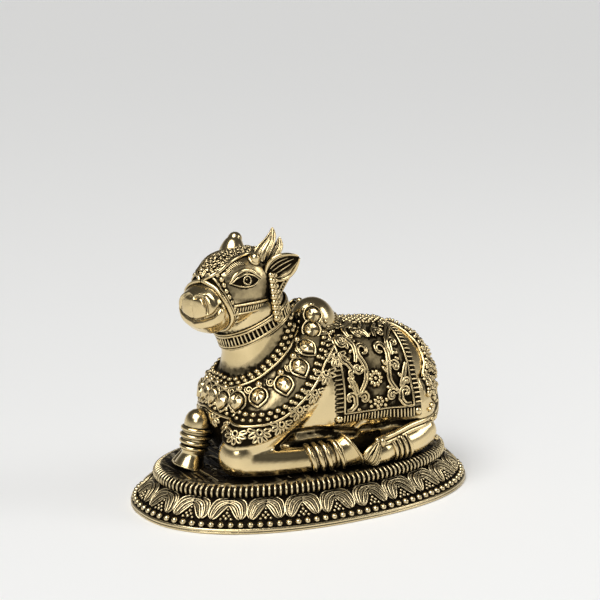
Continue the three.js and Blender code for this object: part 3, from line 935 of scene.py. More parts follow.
# Vines of the left panel: the stem's places, then the curl's centre, radius, start and sweep
VINES = [
    ([(27.9, 8.1), (25.2, 10.9), (23.3, 14.2), (23.9, 19.2), (25, 24.6)], (21.9, 27), 3.1, 0, 290),
    ([(6.4, 8.9), (8.4, 10.9), (11.2, 15.4), (11.8, 20.2), (10, 25)], (12.9, 27.4), 3.1, 190, -290),
    ([(7.4, 22.9), (8.7, 26.5), (8.8, 30.5), (6.2, 34.2)], (3.9, 32), 2.9, 50, 330),
    ([(8.8, 34), (8.4, 36.5), (8.9, 39)], (6.6, 40.6), 2.4, -20, 300),
    ([(25.7, 26.4), (27.2, 30.6), (30, 34.8), (32.6, 38)], (30.4, 40), 2.5, -20, 290),
    ([(11.4, 19), (10.2, 20.6)], (7.9, 20.4), 1.9, 0, -320),
    ([(24.2, 20.6), (25.4, 21.2)], (27.3, 19.2), 1.9, 150, -330),
    ([(27.4, 24), (27.8, 28)], (30.2, 29.6), 2.1, 200, -320),
    ([(6.4, 8.9), (7.6, 9.6)], (9.7, 7.6), 2.1, 140, -330),
    ([(27.9, 8.1), (26.6, 8.6)], (24.2, 7), 2.2, 30, 330),
    ([(0.9, 2.8), (3.4, 3), (5.4, 5.2)], (2.9, 8), 2.4, -15, 280),
    ([(33.2, 2.4), (30.4, 2.4), (28.6, 4.6)], (31.2, 7.4), 2.3, 190, -280),
    ([(0.6, 27.6), (1.2, 24.5), (3.4, 22.6), (5, 20.2)], (4.4, 18.2), 1.3, 60, 250),
    ([(2.8, 16.8), (4.7, 14.6), (5.7, 11.8), (6.2, 9.2)], (3.8, 17.4), 1.2, 200, 250),
    ([(33.4, 20), (32, 17), (30.6, 13.6), (29, 10)], (32.6, 12), 1.4, 160, -250),
    ([(19.2, 33), (18, 36.4), (15.6, 37.6)], (14, 36), 1.9, 30, 300),
    ([(22.4, 33), (23.4, 36.6), (25.2, 37.6)], (26, 35.4), 1.9, 120, -300),
]
# Leaves, each from its root to its tip
LEAVES = [
    ((24, 16), (20.6, 19.8)), ((24, 19), (21.2, 22.6)), ((11.2, 15.6), (13.6, 19)),
    ((26.4, 10), (21.4, 10.8)), ((7.4, 10), (12, 10.2)), ((8.8, 29), (5.8, 27)), ((3, 23), (5.4, 25.6)),
    ((28, 25), (31.6, 25)), ((28.4, 23), (31, 21.6)), ((5.4, 12.8), (1.8, 13.4)),
    ((30.4, 13.8), (28.4, 16.4)), ((19, 36), (20.8, 41)), ((17, 38), (15.4, 42.4)),
    ((24, 38), (26, 42.4)),
]
LEAF_GAP = 2.7
FLOWER = (16.4, 15.2)


def saddle_leaf(work, root, tip, hand):
    middle = [(a + b) / 2 for a, b in zip(root, tip)]
    along = on_saddle(*tip, hand)[0] - on_saddle(*root, hand)[0]
    stretch = along.length / (1.9 * MM)
    work.bead(on_saddle(*middle, hand), 1.0, height=1.2, across=along, stretch=stretch)


def saddle_flower(work, back, up, petals, reach, hand):
    """A rosette of drop-shaped petals round a bead."""
    work.bead(on_saddle(back, up, hand), 1.1, height=1.1)
    for a, b in compass(petals):
        near, far = ((back + a * size, up + b * size) for size in (reach * 0.32, reach))
        saddle_leaf(work, near, far, hand)


RIB_PITCH = 2.1


def border(work, hand):
    """The ribbed border, a cord inside it, and a stud at each corner."""

    def upright(back, heights, height=0.0):
        return line_on(on_saddle, [(back, up) for up in heights], height, hand)

    def level(up, backs, height):
        return line_on(on_saddle, [(back, up) for back in backs], height, hand)

    side = spread(SADDLE_DEPTH, 1.4, 40)
    front, foot = upright(0, side, 0.35), level(1.3, spread(0.6, 34.2, 24), 0.35)
    work.cord([*front, *foot, *upright(34.8, side[::-1], 0.35)], 0.5)
    for back, far in ((-0.7, -4.0), (35.6, 38.8)):
        line = upright(back, spread(2.6, SADDLE_DEPTH, 60))
        heights = [saddle_place(point)[1] for point in walked(line, RIB_PITCH)]
        work.rungs(upright(back, heights, 0.35), upright(far, heights, 0.3), 0.5)
    hem = spread(0.2, 34.6, 22)
    work.rungs(level(0.4, hem, 0.3), level(-2.9, hem, 0.2), 0.42)
    for back in (-2.4, 37):
        work.bead(on_saddle(back, -1.3, hand), 1.9, height=1.5, segments=(12, 8))


def vine(work, places, hand):
    """A grooved stem: two cords side by side that close in towards its ends."""
    last = len(places) - 1
    for beside in BOTH:
        line = []
        for i, (back, up) in enumerate(places):
            before, after = places[max(0, i - 1)], places[min(last, i + 1)]
            along, rise = after[0] - before[0], after[1] - before[1]
            gap = beside * VINE_GAP * (0.25 + 0.75 * sin(pi * min(1, 0.15 + 0.8 * i / last)))
            gap /= hypot(along, rise)
            line.append((back - rise * gap, up + along * gap))
        work.cord(line_on(on_saddle, line, 0.8, hand), 0.58, taper=(0.7, 0.5))


def fill_panel(work, taken, hand):
    """Small leaves wherever the scrolls leave a gap at the panel's sides and top."""
    for row, up in enumerate(spread(2.4, 46, 21), 1):
        for back in spread(1.9 + 1.1 * (row % 2), 33 - 1.1 * (1 - row % 2), 14):
            plain = up < 27 and 8 < back < 27
            if plain or min(hypot(back - a, up - b) for a, b in taken) < LEAF_GAP:
                continue
            lean = radians((row * 67 + back * 41) % 180)
            a, b = cos(lean) * 1.1, sin(lean) * 1.1
            saddle_leaf(work, (back - a, up - b), (back + a, up + b), hand)
            taken.append((back, up))


def saddle_work():
    work = Work("saddle")
    for hand in BOTH:
        border(work, hand)
        taken = []
        for stem, *scroll in VINES:
            places = [tuple(place) for place in through(stem, 4)] + curl(*scroll)
            vine(work, places, hand)
            work.bead(on_saddle(*places[-1], hand), 0.85, height=1.1)
            taken += places
        for root, tip in LEAVES:
            saddle_leaf(work, root, tip, hand)
            taken += [root, tip]
        saddle_flower(work, *FLOWER, 10, 3.9, hand)
        saddle_flower(work, 17.2, 4.8, 7, 2.9, hand)
        for place in ((13, 5.4), (21.4, 5.2), (13.6, 3), (20.8, 2.8), (17.2, 1.9)):
            work.bead(on_saddle(*place, hand), 1.05, height=1.1)
        for lean in (-70, -35, 0, 35, 70):
            a, b = sin(radians(lean)), cos(radians(lean))
            root, middle, tip = ((17 + a * reach, 33.5 + b * reach) for reach in (1, 3.3, 5.6))
            saddle_leaf(work, root, tip, hand)
            taken += [root, tip, middle]
        fill_panel(work, taken, hand)
    for back in spread(2.6, 32.6, 6):
        spine_flower(work, back)
    return work.done()


def rosette(work, place, size):
    """A bead with a ring of petals standing round it."""
    point, out = place
    along = out.orthogonal().normalized()
    beside = out.cross(along)
    work.bead(place, size * 1.25, height=size * 1.7)
    for a, b in compass(7):
        way = along * a + beside * b
        work.bead((point + way * 2.1 * MM, out), size * 0.8, height=size * 1.25, across=way, stretch=1.6)


def spine_flower(work, back):
    """A rosette on the spine, with beads beside it."""
    rosette(work, on_saddle(back, SADDLE_DEPTH), 1.0)
    for hand in BOTH:
        for step, up, radius, height in ((2.5, 46.2, 1.1, 1.5), (0, 44.8, 0.9, 1.3), (2.5, 43.4, 0.8, 1.1)):
            work.bead(on_saddle(back + step, up, hand), radius, height=height)


# What hangs where the rump cloth meets the saddle: turn, share, radius and stretch of each bead
BUNCH = [
    (60, 0.5, 1.7, 1.7), (56, -0.1, 1.5, 1.5), (61, -0.5, 1.5, 1.0), (64.5, 0, 1.4, 1.3),
    (57, -0.75, 1.3, 1.4), (62, -1.1, 1.2, 1.0), (52, -0.2, 1.2, 1.0), (65, -0.9, 1.1, 1.0),
    (58.5, -1.4, 1.0, 1.2),
]


def rump_work():
    work = Work("rump_cloth")

    def line(share, end, height=0.0):
        return line_on(on_rump, [(turn, share) for turn in spread(-end, end, 80)], height)

    work.cord(line(1.0, RUMP_END, 0.35), 0.7)
    for share, radius, pitch in ((0.9, 1.0, 3.1), (0.46, 1.0, 3.2), (0.03, 1.15, 3.3)):
        for point in walked(line(share, 64), pitch):
            work.bead(from_rump(point), radius, height=1.5)
    for share in (0.69, 0.24):
        for point in walked(line(share, 61), 6.6):
            rosette(work, from_rump(point), 1.05)
    for hand in BOTH:
        for turn, share, radius, stretch in BUNCH:
            place = on_rump(turn, share, hand)
            work.bead(place, radius, height=1.8, across=Z, stretch=stretch, segments=(10, 7))
    return work.done()


COLLAR_MIDDLE = at(25.9, 0, 65.4)
COLLAR_TILT = radians(27.9)
COLLAR_FORWARD = X * cos(COLLAR_TILT) - Z * sin(COLLAR_TILT)
COLLAR_UP = COLLAR_FORWARD.cross(Y)
COLLAR_HALF_LENGTH = 17.6
COLLAR_HALF_WIDTH = 15.2
COLLAR_HEIGHT = 4.6
COLLAR_CLEARANCE = 0.7


def collar_ring(rise, grow, count=72):
    """Points round the collar at a rise in millimetres, clear of the neck's skin."""
    middle = COLLAR_MIDDLE + COLLAR_UP * rise * MM
    found = []
    for a, b in compass(count):
        way = (COLLAR_FORWARD * COLLAR_HALF_LENGTH * a + Y * COLLAR_HALF_WIDTH * b) * MM
        skin = body_surface.tree.ray_cast(middle, way)[0]
        reach = max(way.length, (skin - middle).length + COLLAR_CLEARANCE * MM)
        found.append(middle + way.normalized() * (reach + grow * MM))
    return found


def collar_work():
    """A flat hoop round the neck, with cords at its rims and rungs between them."""
    work = Work("collar")
    half = COLLAR_HEIGHT / 2
    rings = [collar_ring(rise * half, grow) for rise, grow in ((-1, -4), (-1, 0), (1, 0), (1, -4))]
    work.shell(rings, [1] * len(rings[0]))
    for rise, radius in ((half, 0.6), (half + 1.1, 0.4), (-half, 0.6), (-half - 1, 0.35)):
        work.cord(collar_ring(rise, 0.25), radius, closed=True)
    work.rungs(collar_ring(0.4 - half, 0.3, 60), collar_ring(half - 0.4, 0.3, 60), 0.45)
    return work.done()


def bridle_work():
    work = Work("bridle")
    brow, noseband = through(BROW[1:6]), through(NOSEBAND)
    for hand in BOTH:
        work.cord(line_on(on_crown, through(BROW), 0.75, hand), 0.85)
        inner = line_on(on_crown, moved(brow, 0, -5), 0.3, hand)
        outer = line_on(on_crown, moved(brow, 0, -12), 0.4, hand)
        work.rungs(walked(inner, 1.5), walked(outer, 1.5), 0.36)
        for setback, radius, height in ((0, 0.95, 0.5), (1.9, 0.5, 0.35)):
            work.cord(line_on(onto_head, moved(noseband, -setback, 0, 0), height, hand), radius)
        for point in walked(line_on(onto_head, moved(noseband, -3.3, 0, 0), 0, hand), 2.7):
            work.bead(from_head(point), 1.1, height=1.1, across=Z, stretch=1.25)
        for z in (77, 73.1):
            work.cord(line_on(on_cheek, cheek_row(z), 0.35, hand), 0.65)
        top, foot = (line_on(on_cheek, cheek_row(z, 24, 4.4, 13), 0.2, hand) for z in (76.6, 73.5))
        work.rungs(top, foot, 0.5)
        tassel(work, hand)
        throat_strap(work, hand)
    return work.done()


def tassel(work, hand):
    """Pairs of beads that hang from below the ear."""
    for i, z in enumerate(spread(87.5, 68.6, 8)):
        side = (14.3 + 0.42 * i) * hand
        out = HEAD_LEFT * hand
        work.bead((on_head(3, side, z), out), 1.6, across=Z, segments=(10, 7))
        work.bead((on_head(0.6, side, z - 0.4), out), 1.4, across=Z, segments=(10, 7))
        work.bead((on_head(1.8, side * 1.03, z - 1.2), out), 0.9, across=Z)


THROAT_STRAP = [(-7.6, 17.5, 89), (-5, 15.6, 83.4), (-2.4, 14.6, 79), (0.4, 14, 75)]


def throat_strap(work, hand):
    """A laddered strap from behind the ear down to the cheek strap, thick enough to stand alone."""
    edges = []
    for shift in (1.3, -1.3):
        line = moved(through(THROAT_STRAP), shift * 0.8, shift * 0.2, shift * 0.6)
        edges.append([on_head(forward, side * hand, z) for forward, side, z in line])
        work.cord(edges[-1], 0.42)
    work.rungs(*(walked(edge, 1.35) for edge in edges), 0.38)
    inward = HEAD_LEFT * hand * MM
    rings = [[a, b, b - inward * 3, a - inward * 3] for a, b in zip(*edges)]
    work.shell([[point - inward * 0.35 for point in ring] for ring in rings], [1] * 4)


UPPER_LID = [(24.8, 86.3), (22.2, 89.4), (18, 91.3), (14, 90.9), (11.2, 89), (8.8, 87)]
UPPER_LASH = [(24.3, 86.3), (21.5, 88.4), (17.5, 89.6), (13.5, 88.8), (10.4, 86.8)]
LOWER_LASH = [(24.3, 86.3), (21, 85), (17.5, 84.4), (13.5, 84.9), (10.4, 86.8)]
LIDS = [(UPPER_LID, 0.95, 0.05), (UPPER_LASH, 0.42, 0.5), (LOWER_LASH, 0.42, 0.45)]
EYE_MIDDLE = (17.4, 87.1)
IRIS = (17, 87.1)
BROW_TICKS = [(24.2, 89.9), (22.6, 91.6), (20.4, 92.9), (17.6, 93.4), (14.6, 93.2)]


def eye_work():
    work = Work("eyes")
    outline = through(UPPER_LASH) + through(LOWER_LASH)[-2:0:-1]
    iris = [(IRIS[0] + 1.9 * a, IRIS[1] + 1.8 * b) for a, b in compass(16)]
    ticks = through(BROW_TICKS, 3)
    for hand in BOTH:
        rings = []
        for size, height in ((1.0, -0.6), (1.0, 0.16), (0.66, 0.5), (0.2, 0.62)):
            ring = [[m + (p - m) * size for m, p in zip(EYE_MIDDLE, place)] for place in outline]
            rings.append(line_on(on_cheek, ring, height, hand))
        work.shell(rings, [1] * len(outline))
        for line, radius, height in LIDS:
            work.cord(line_on(on_cheek, through(line), height, hand), radius, taper=(0.35, 0.35))
        work.cord(line_on(on_cheek, iris, 0.75, hand), 0.34, closed=True)
        work.bead(on_cheek(IRIS[0] + 0.4, IRIS[1] + 0.4, hand), 0.5, height=1.2)
        feet, tips = (line_on(on_cheek, line, 0.2, hand) for line in (ticks, moved(ticks, 0.5, 1.1)))
        work.rungs(feet, tips, 0.3)
    return work.done()


def forelock_work():
    """Curls and beads of the pad between the horns and the brow."""
    work = Work("forelock")
    for i, forward in enumerate(spread(30, -6, 16)):
        edge = brow_angle(forward)[0] - 8 if forward > 3 else 26
        half = max(4.0, min(edge, 24))
        angles = spread(-half, half, max(1, round(2 * half / 9.5)))
        for k, angle in enumerate(angles):
            odd = (i + k) % 2
            places = curl((forward, angle), 1.2, (137 * i + 71 * k) % 360, 400 if odd else -400, 0.3)
            line = [(a, angle + (b - angle) * 3.3) for a, b in places]
            work.cord(line_on(on_crown, line, 0.4 + 0.3 * odd), 0.4, taper=(0.7, 0.6))
            if k % 2:
                work.bead(on_crown(forward, (angle + angles[k - 1]) / 2), 0.6, height=0.8)
    return work.done()


TOP_HALF_LENGTH = 70
TOP_HALF_WIDTH = 41
TOP = 18
PLAN_POWER = 2.25
PLAN_SIDES = 220
FLARE = 12
FOOT_HEIGHT = 2.4
BEAD_HEIGHT = 2.2
ROLL_FOOT = TOP - 5.4
ROLL_OVERHANG = 2.2
PETAL_FOOT = FOOT_HEIGHT + BEAD_HEIGHT
PETALS = 24
RIM_BEADS = 100
RIBS = 148


def plan_point(angle, spread_out, height):
    """A place round the plinth, out from the edge of its top and up from its underside. Millimetres."""
    x = (TOP_HALF_LENGTH + spread_out) * powered(cos(angle), PLAN_POWER)
    y = (TOP_HALF_WIDTH + spread_out) * powered(sin(angle), PLAN_POWER)
    return Vector((x, y, height)) * MM


def plan_angles(count):
    """Angles that walk the plinth's oval in equal steps."""
    fine = 4000
    line = [plan_point(angle, FLARE / 2, 0) for angle in spread(0, tau, fine)]
    return [tau * (k + share) / fine for k, share in steps_along(line, count=count)][:count]


# The plinth's outline from its underside up, as millimetres out and up, and how dark its ground is
PLINTH_PROFILE = [
    (FLARE - 1.2, 0, 0), (FLARE - 0.3, 0.1, 0), (FLARE, 0.5, 0), (FLARE, 1.0, 0), (FLARE - 0.4, 1.2, 1),
    (FLARE, 1.4, 0), (FLARE, 2.0, 0), (FLARE - 0.3, 2.4, 0.2), (FLARE - 1.6, 2.5, 1),
    (FLARE - 3.6, 3.4, 1), (FLARE - 4.0, 4.6, 1), (FLARE - 4.4, 4.9, 1), (FLARE - 6.4, 7.6, 1),
    (FLARE - 9.4, 10.2, 1), (0.2, 12.0, 1), (-0.2, 12.4, 1), (0.2, 13.0, 1),
    (ROLL_OVERHANG - 1.5, 13.8, 1), (ROLL_OVERHANG - 1.1, 15.0, 1), (ROLL_OVERHANG - 1.5, 16.3, 1),
    (-0.1, 17.1, 0.9), (-0.9, 17.6, 0.5), (-1.4, 17.9, 0.7),
]


def on_band(turn, up, height):
    """A place on the sloping band of petals: turn is an angle, up a share of its height."""
    up = max(up, 0)
    spread_out = FLARE - 4.2 - (FLARE - 4.6) * up**1.15
    level = PETAL_FOOT + 0.5 + (ROLL_FOOT - PETAL_FOOT - 1.2) * up
    point = plan_point(turn, spread_out, level)
    out = plan_point(turn, spread_out + 1, level) - point
    return point + (out.normalized() * 0.75 + Z * 0.66) * height * MM


# One lobe of a petal: its outer and inner outline from root to tip, as [across, up]
LOBE_OUTER = [(0.02, 1.0), (0.5, 1.0), (0.85, 0.84), (0.97, 0.52), (0.95, 0.2), (0.76, 0.0)]
LOBE_INNER = [(0.02, 0.66), (0.14, 0.55), (0.26, 0.4), (0.38, 0.24), (0.52, 0.08), (0.7, -0.03)]
# The beads between two lobes: across, up and radius
LOBE_BEADS = [
    (0, 0.5, 0.6), (0, 0.33, 0.8), (-0.13, 0.19, 0.75), (0.13, 0.19, 0.75), (0, 0.06, 0.85),
    (-0.26, 0.02, 0.7), (0.26, 0.02, 0.7),
]
# A rib of the plinth's roll, as millimetres out and up
RIB = [
    (-0.3, 12.1), (0.9, 12.8), (ROLL_OVERHANG - 0.75, 14), (ROLL_OVERHANG - 0.62, 15.2),
    (ROLL_OVERHANG - 1.1, 16.4), (-0.1, 17.25), (-1.4, 17.8),
]


def petal(work, middle, half_turn):
    """Two drooping lobes, each a leaf with a bright rim and veins, and beads between them."""
    edges = list(zip(through(LOBE_OUTER, 3), through(LOBE_INNER, 3)))
    for hand in BOTH:

        def on_lobe(edge, share, height):
            across, up = (a + (b - a) * share for a, b in zip(*edge))
            return on_band(middle + hand * across * half_turn, up, height)

        rings = []
        for edge in edges:
            top = [on_lobe(edge, share, 0.5 + 0.75 * sin(pi * share)) for share in spread(0, 1, 6)]
            rings.append(top + [on_lobe(edge, share, -0.6) for share in spread(1, 0, 6)])
        work.shell(rings, [0.35] * len(rings[0]))
        for share, radius in ((0, 0.42), (1, 0.42), (0.34, 0.34), (0.67, 0.34)):
            height = 0.6 + 0.75 * sin(pi * share)
            work.cord([on_lobe(edge, share, height) for edge in edges], radius, taper=(0.8, 0.6))
    for a, up, radius in LOBE_BEADS:
        point = on_band(middle + a * half_turn, up, 0.5)
        work.bead((point, (point - plan_point(middle, 0, 8)).normalized()), radius, segments=(6, 4))


def plinth_ring(work, angles, spread_out, height, ground=None):
    """A ring of the plinth's skin, rough with casting grain where no ground is given."""
    verts = bmesh.ops.create_circle(work.shape, segments=len(angles), radius=1)["verts"]
    for vert, angle in zip(verts, angles):
        place = plan_point(angle, spread_out, height)
        rough = max(0, noise.noise(place / MM * 0.75)) if ground is None else 0
        vert.co = place + Z * rough * 1.1 * MM
        vert[work.ground] = 0.9 - 1.4 * rough if ground is None else ground
    return verts


def plinth_work():
    work = Work("lotus_plinth", "plinth")
    angles = plan_angles(PLAN_SIDES)
    rings = [plinth_ring(work, angles, *row) for row in PLINTH_PROFILE]
    rings += [plinth_ring(work, angles, inward, TOP) for inward in spread(-2.4, -36, 30)]
    loft(work.shape, rings)
    for angle in plan_angles(RIM_BEADS):
        point = plan_point(angle, FLARE - 2.1, 3.5)
        out = plan_point(angle, FLARE, 4.2) - plan_point(angle, FLARE - 2, 3.5)
        work.bead((point, out.normalized()), 1.5, height=1.6, segments=(10, 6))
    for angle in plan_angles(RIBS):
        work.cord([plan_point(angle, *place) for place in RIB], 0.55, taper=(0.6, 0.5))
    petals = [*plan_angles(PETALS), tau]
    for angle, after in zip(petals, petals[1:]):
        petal(work, (angle + after) / 2, (after - angle) / 2)
    return work.done()


EAR_ROOT = (4.2, 12.6, 86.9)
EAR_TIP = (-6.6, 22.6, 95.4)
EAR_HALF_WIDTH = 6.3
FAR_EAR_DROOP = 4


def ear(work, hand):
    """A leaf-shaped ear: a hollow bowl in a thick rim, with three veins."""
    droop = 0 if hand > 0 else FAR_EAR_DROOP
    root, tip = (on_head(forward, side * hand, z - droop) for forward, side, z in (EAR_ROOT, EAR_TIP))
    length = tip - root
    along = length.normalized()
    facing = HEAD_FORWARD * 0.62 + HEAD_LEFT * 0.66 * hand - Z * 0.42
    facing = (facing - along * facing.dot(along)).normalized()
    across = facing.cross(along) * hand

    def spot(share, beside, height=0.0):
        width = EAR_HALF_WIDTH * sin(pi * share**0.85) ** 0.75
        bowl = 1.9 * (beside**2 - 1) * sin(pi * share)
        return root + length * share + (across * beside * width + facing * (bowl + height)) * MM

    def vein(beside, start, end, count, height, radius, taper):
        work.cord([spot(share, beside, height) for share in spread(start, end, count)], radius, taper=taper)

    sides = spread(-1, 1, 12)
    rings = []
    for share in [0.01, *spread(0.05, 0.95, 12), 0.99]:
        behind = -1.3 * sin(pi * share) - 0.15
        rings.append([spot(share, a) for a in sides] + [spot(share, a, behind) for a in reversed(sides)])
    work.shell(rings, [1 - ramp(abs(beside), 0.6, 0.85) for beside in sides] + [0] * len(sides))
    for beside in BOTH:
        vein(beside, 0.02, 0.98, 20, 0.1, 0.8, (0.8, 0.5))
        vein(beside * 0.74, 0.08, 0.9, 16, 0.2, 0.3, (0.6, 0.4))
    for beside in (-0.36, 0, 0.36):
        vein(beside, 0.2, 0.84 - 0.3 * abs(beside), 12, 0.2, 0.28, (0.8, 0.3))


def horn_work():
    work = Work("horns_and_ears")
    for rows in (NEAR_HORN, HORN_SPUR):
        limb(work.shape, rows, ends=(0.2, 0.8), steps=6, **HEAD)
        for angle in range(-60, 300, 45):
            work.cord(along_limb(rows, angle, 0.2, len(rows) - 1.1, -35, **HEAD), 0.42, taper=(0.8, 0.35))
    limb(work.shape, FAR_HORN, ends=(0.2, 1), steps=6, **HEAD)
    for radius, height in ((2.6, 3.4), (3.1, 1.6)):
        work.bead(on_crown(8.6, 33), radius, height=height, segments=(16, 10))
    for hand in BOTH:
        ear(work, hand)
    return work.done()


# The left foreleg's bell hoof: rows of [row, x, z, half width, half height, lean in degrees]
BELL = smooth_table([
    [0, 3, 6.8, 5.2, 6.2, 8],
    [1, -1, 7.2, 5.6, 6.7, 16],
    [2, -4.6, 7.8, 6.6, 7.6, 25],
    [3, -6.6, 8.3, 7.8, 8.7, 31],
])
BELL_SIDE = 32.6


def bell_ring(t, size=1.0, shift=0.0):
    x, z, width, height, lean = BELL(t)
    tilt = radians(lean)
    upward = Z * cos(tilt) + X * sin(tilt)
    middle = at(x + shift, BELL_SIDE, z)
    return [middle + (Y * a * width + upward * b * height) * size * MM for a, b in compass(32)]


def leg_work():
    """The right foreleg, the hooves and the bangles."""
    work = Work("legs_and_hooves")
    limb(work.shape, RIGHT_FOREARM)
    limb(work.shape, RIGHT_SHANK, ends=(1, 0.1), steps=6, sides=32)
    limb(work.shape, RIGHT_TOE, steps=6)
    work.shell([bell_ring(t) for t in spread(0, 3, 9)] + [bell_ring(3, 0.86, 0.2), bell_ring(2.6, 0.7)])
    rings = [(hoop(RIGHT_SHANK, t, 0.25), 0.95) for t in spread(0.45, 1.85, 3)]
    rings += [(hoop(RIGHT_SHANK, 3.95, 0.1), 0.6), (bell_ring(3, 0.97), 0.6)]
    rings += [(hoop(LEFT_SHANK, t, 0.35, lean=1.6), 1.2) for t in (2.34, 2.6, 2.86)]
    rings += [(hoop(LEFT_HOOF, 0.42, 0.6, lean=2), 0.85), (bell_ring(0.75, 1.03), 0.6)]
    for hoof, shank in zip(both_sides(HIND_HOOF), both_sides(HIND_SHANK)):
        limb(work.shape, hoof, steps=6)
        rings += [(hoop(shank, t, lean=1.4), 0.95) for t in (1.36, 1.53, 1.7, 1.87)]
    for ring, radius in rings:
        work.cord(ring, radius, closed=True)
    return work.done()


def tail_work():
    """A tail of two strands, tied above a veined tuft."""
    work = Work("tail")
    for lift in BOTH:
        strand = [[x, y, z + lift * 1.25, 1.35, 1.35] for x, y, z, _, _ in TAIL]
        limb(work.shape, strand, side=Z, steps=6, sides=12)
    tie = limb_frame(TAIL, side=Z)(len(TAIL) - 1.4)
    work.bead((tie[0] + Y * 1.2 * MM, Y), 1.5, height=1.5, across=Z, stretch=1.5, segments=(12, 8))
    limb(work.shape, TUFT, steps=6, sides=24)
    for angle in (-62, -38, -14, 10, 34, 58):
        work.cord(along_limb(TUFT, angle, 0.3, 3.8), 0.4, taper=(0.6, 0.6))
    return work.done()


pieces = [
    piece("bull_body", body),
    piece("bull_head", head),
    leg_work(),
    horn_work(),
    tail_work(),
    garland_work(),
    saddle_work(),
    rump_work(),
    collar_work(),
    bridle_work(),
    eye_work(),
    forelock_work(),
    plinth_work(),
]


# How shut in each point is, as patina settles
def ways_out(count):
    """Ways spread evenly over a ball."""
    golden = pi * (3 - sqrt(5))
    heights = [1 - 2 * (i + 0.5) / count for i in range(count)]
    turns = [Vector((cos(golden * i), sin(golden * i), 0)) for i in range(count)]
    return [turn * sqrt(1 - z * z) + Z * z for turn, z in zip(turns, heights)]


def shut_in(tree, point, normal, ways, reach):
    """The share of the way out of a point that other brass closes within a reach."""
    origin = point + normal * 0.12 * MM
    total = shut = 0.0
    for way in ways:
        facing = way.dot(normal)
        if facing > 0.15:
            total += facing
            distance = tree.ray_cast(origin, way, reach * MM)[3]
            if distance is not None:
                shut += facing * (1 - distance / (reach * MM)) ** 0.5
    return shut / total if total else 0.0


# The two hollows that darken: how many ways are tried, how far, and how strongly they count
SMALL_HOLLOW = (ways_out(14), 4.2)
LARGE_HOLLOW = (ways_out(10), 16)
BROAD = ("bull_body", "bull_head", "legs_and_hooves", "tail")


def mark_hollows():
    """Keep in a layer how far each point lies in a small hollow, and on the broad forms in a large one."""
    points, faces = [], []
    for thing in pieces:
        start = len(points)
        points += [vert.co for vert in thing.data.vertices]
        faces += [[start + i for i in face.vertices] for face in thing.data.polygons]
    tree = BVHTree.FromPolygons(points, faces)
    for thing in pieces:
        values = []
        for vert in thing.data.vertices:
            hollow = 1.6 * shut_in(tree, vert.co, vert.normal, *SMALL_HOLLOW)
            if thing.name in BROAD:
                hollow = max(hollow, 1.15 * shut_in(tree, vert.co, vert.normal, *LARGE_HOLLOW) ** 1.3)
            values.append(min(1.0, hollow))
        layer = thing.data.attributes.new("hollow", "FLOAT", "POINT")
        layer.data.foreach_set("value", values)


mark_hollows()


# Brass
def node(tree, kind, *first, **rest):
    """A new node: its first inputs in order, its settings in small letters and inputs by their names."""
    made = tree.nodes.new("ShaderNode" + kind)
    settings = [name for name in rest if name.islower()]
    for name in settings:
        setattr(made, name, rest.pop(name))
    wires = [*zip(made.inputs, first), *((made.inputs[name.replace("_", " ")], rest[name]) for name in rest)]
    for socket, source in wires:
        if isinstance(source, bpy.types.NodeSocket):
            tree.links.new(source, socket)
        else:
            socket.default_value = source
    return made.outputs


def patina_and_shade_group():
    """Where patina lies and painted shade is laid, from 0 on rubbed brass to 1 in the hollows, and the small
    dents of the casting.
    """
    group = bpy.data.node_groups.new("patina_and_shade_mask", "ShaderNodeTree")
    for name, way in (("Grain", "INPUT"), ("Darkness", "INPUT"), ("Patina_and_shade", "OUTPUT"), ("Dents", "OUTPUT")):
        group.interface.new_socket(name, in_out=way, socket_type="NodeSocketFloat")
    given = group.nodes.new("NodeGroupInput").outputs
    place = node(group, "TexCoord")["Object"]
    hollow, ground = (node(group, "Attribute", attribute_name=name)["Fac"] for name in ("hollow", "ground"))
    cloud = node(group, "TexNoise", Vector=place, Scale=given["Grain"], Detail=6.0, Roughness=0.65)["Fac"]
    # The ground layer carries patina, and on the body and head painted shade too; the hollows carry patina.
    settled_and_shaded = node(group, "Math", ground, given["Darkness"], hollow, operation="MULTIPLY_ADD")[0]
    broken = node(group, "Math", cloud, 0.34, settled_and_shaded, operation="MULTIPLY_ADD")[0]
    mask = node(
        group, "MapRange", interpolation_type="SMOOTHSTEP", Value=broken, From_Min=0.42, From_Max=0.95
    )
    dents = node(group, "TexNoise", Vector=place, Scale=420.0, Detail=3.0)
    result = group.nodes.new("NodeGroupOutput").inputs
    group.links.new(mask["Result"], result["Patina_and_shade"])
    group.links.new(dents["Fac"], result["Dents"])
    return group


PATINA_AND_SHADE = patina_and_shade_group()


def material_of(name):
    material = bpy.data.materials.new(name)
    material.use_nodes = True
    return material, material.node_tree, material.node_tree.nodes["Principled BSDF"].inputs


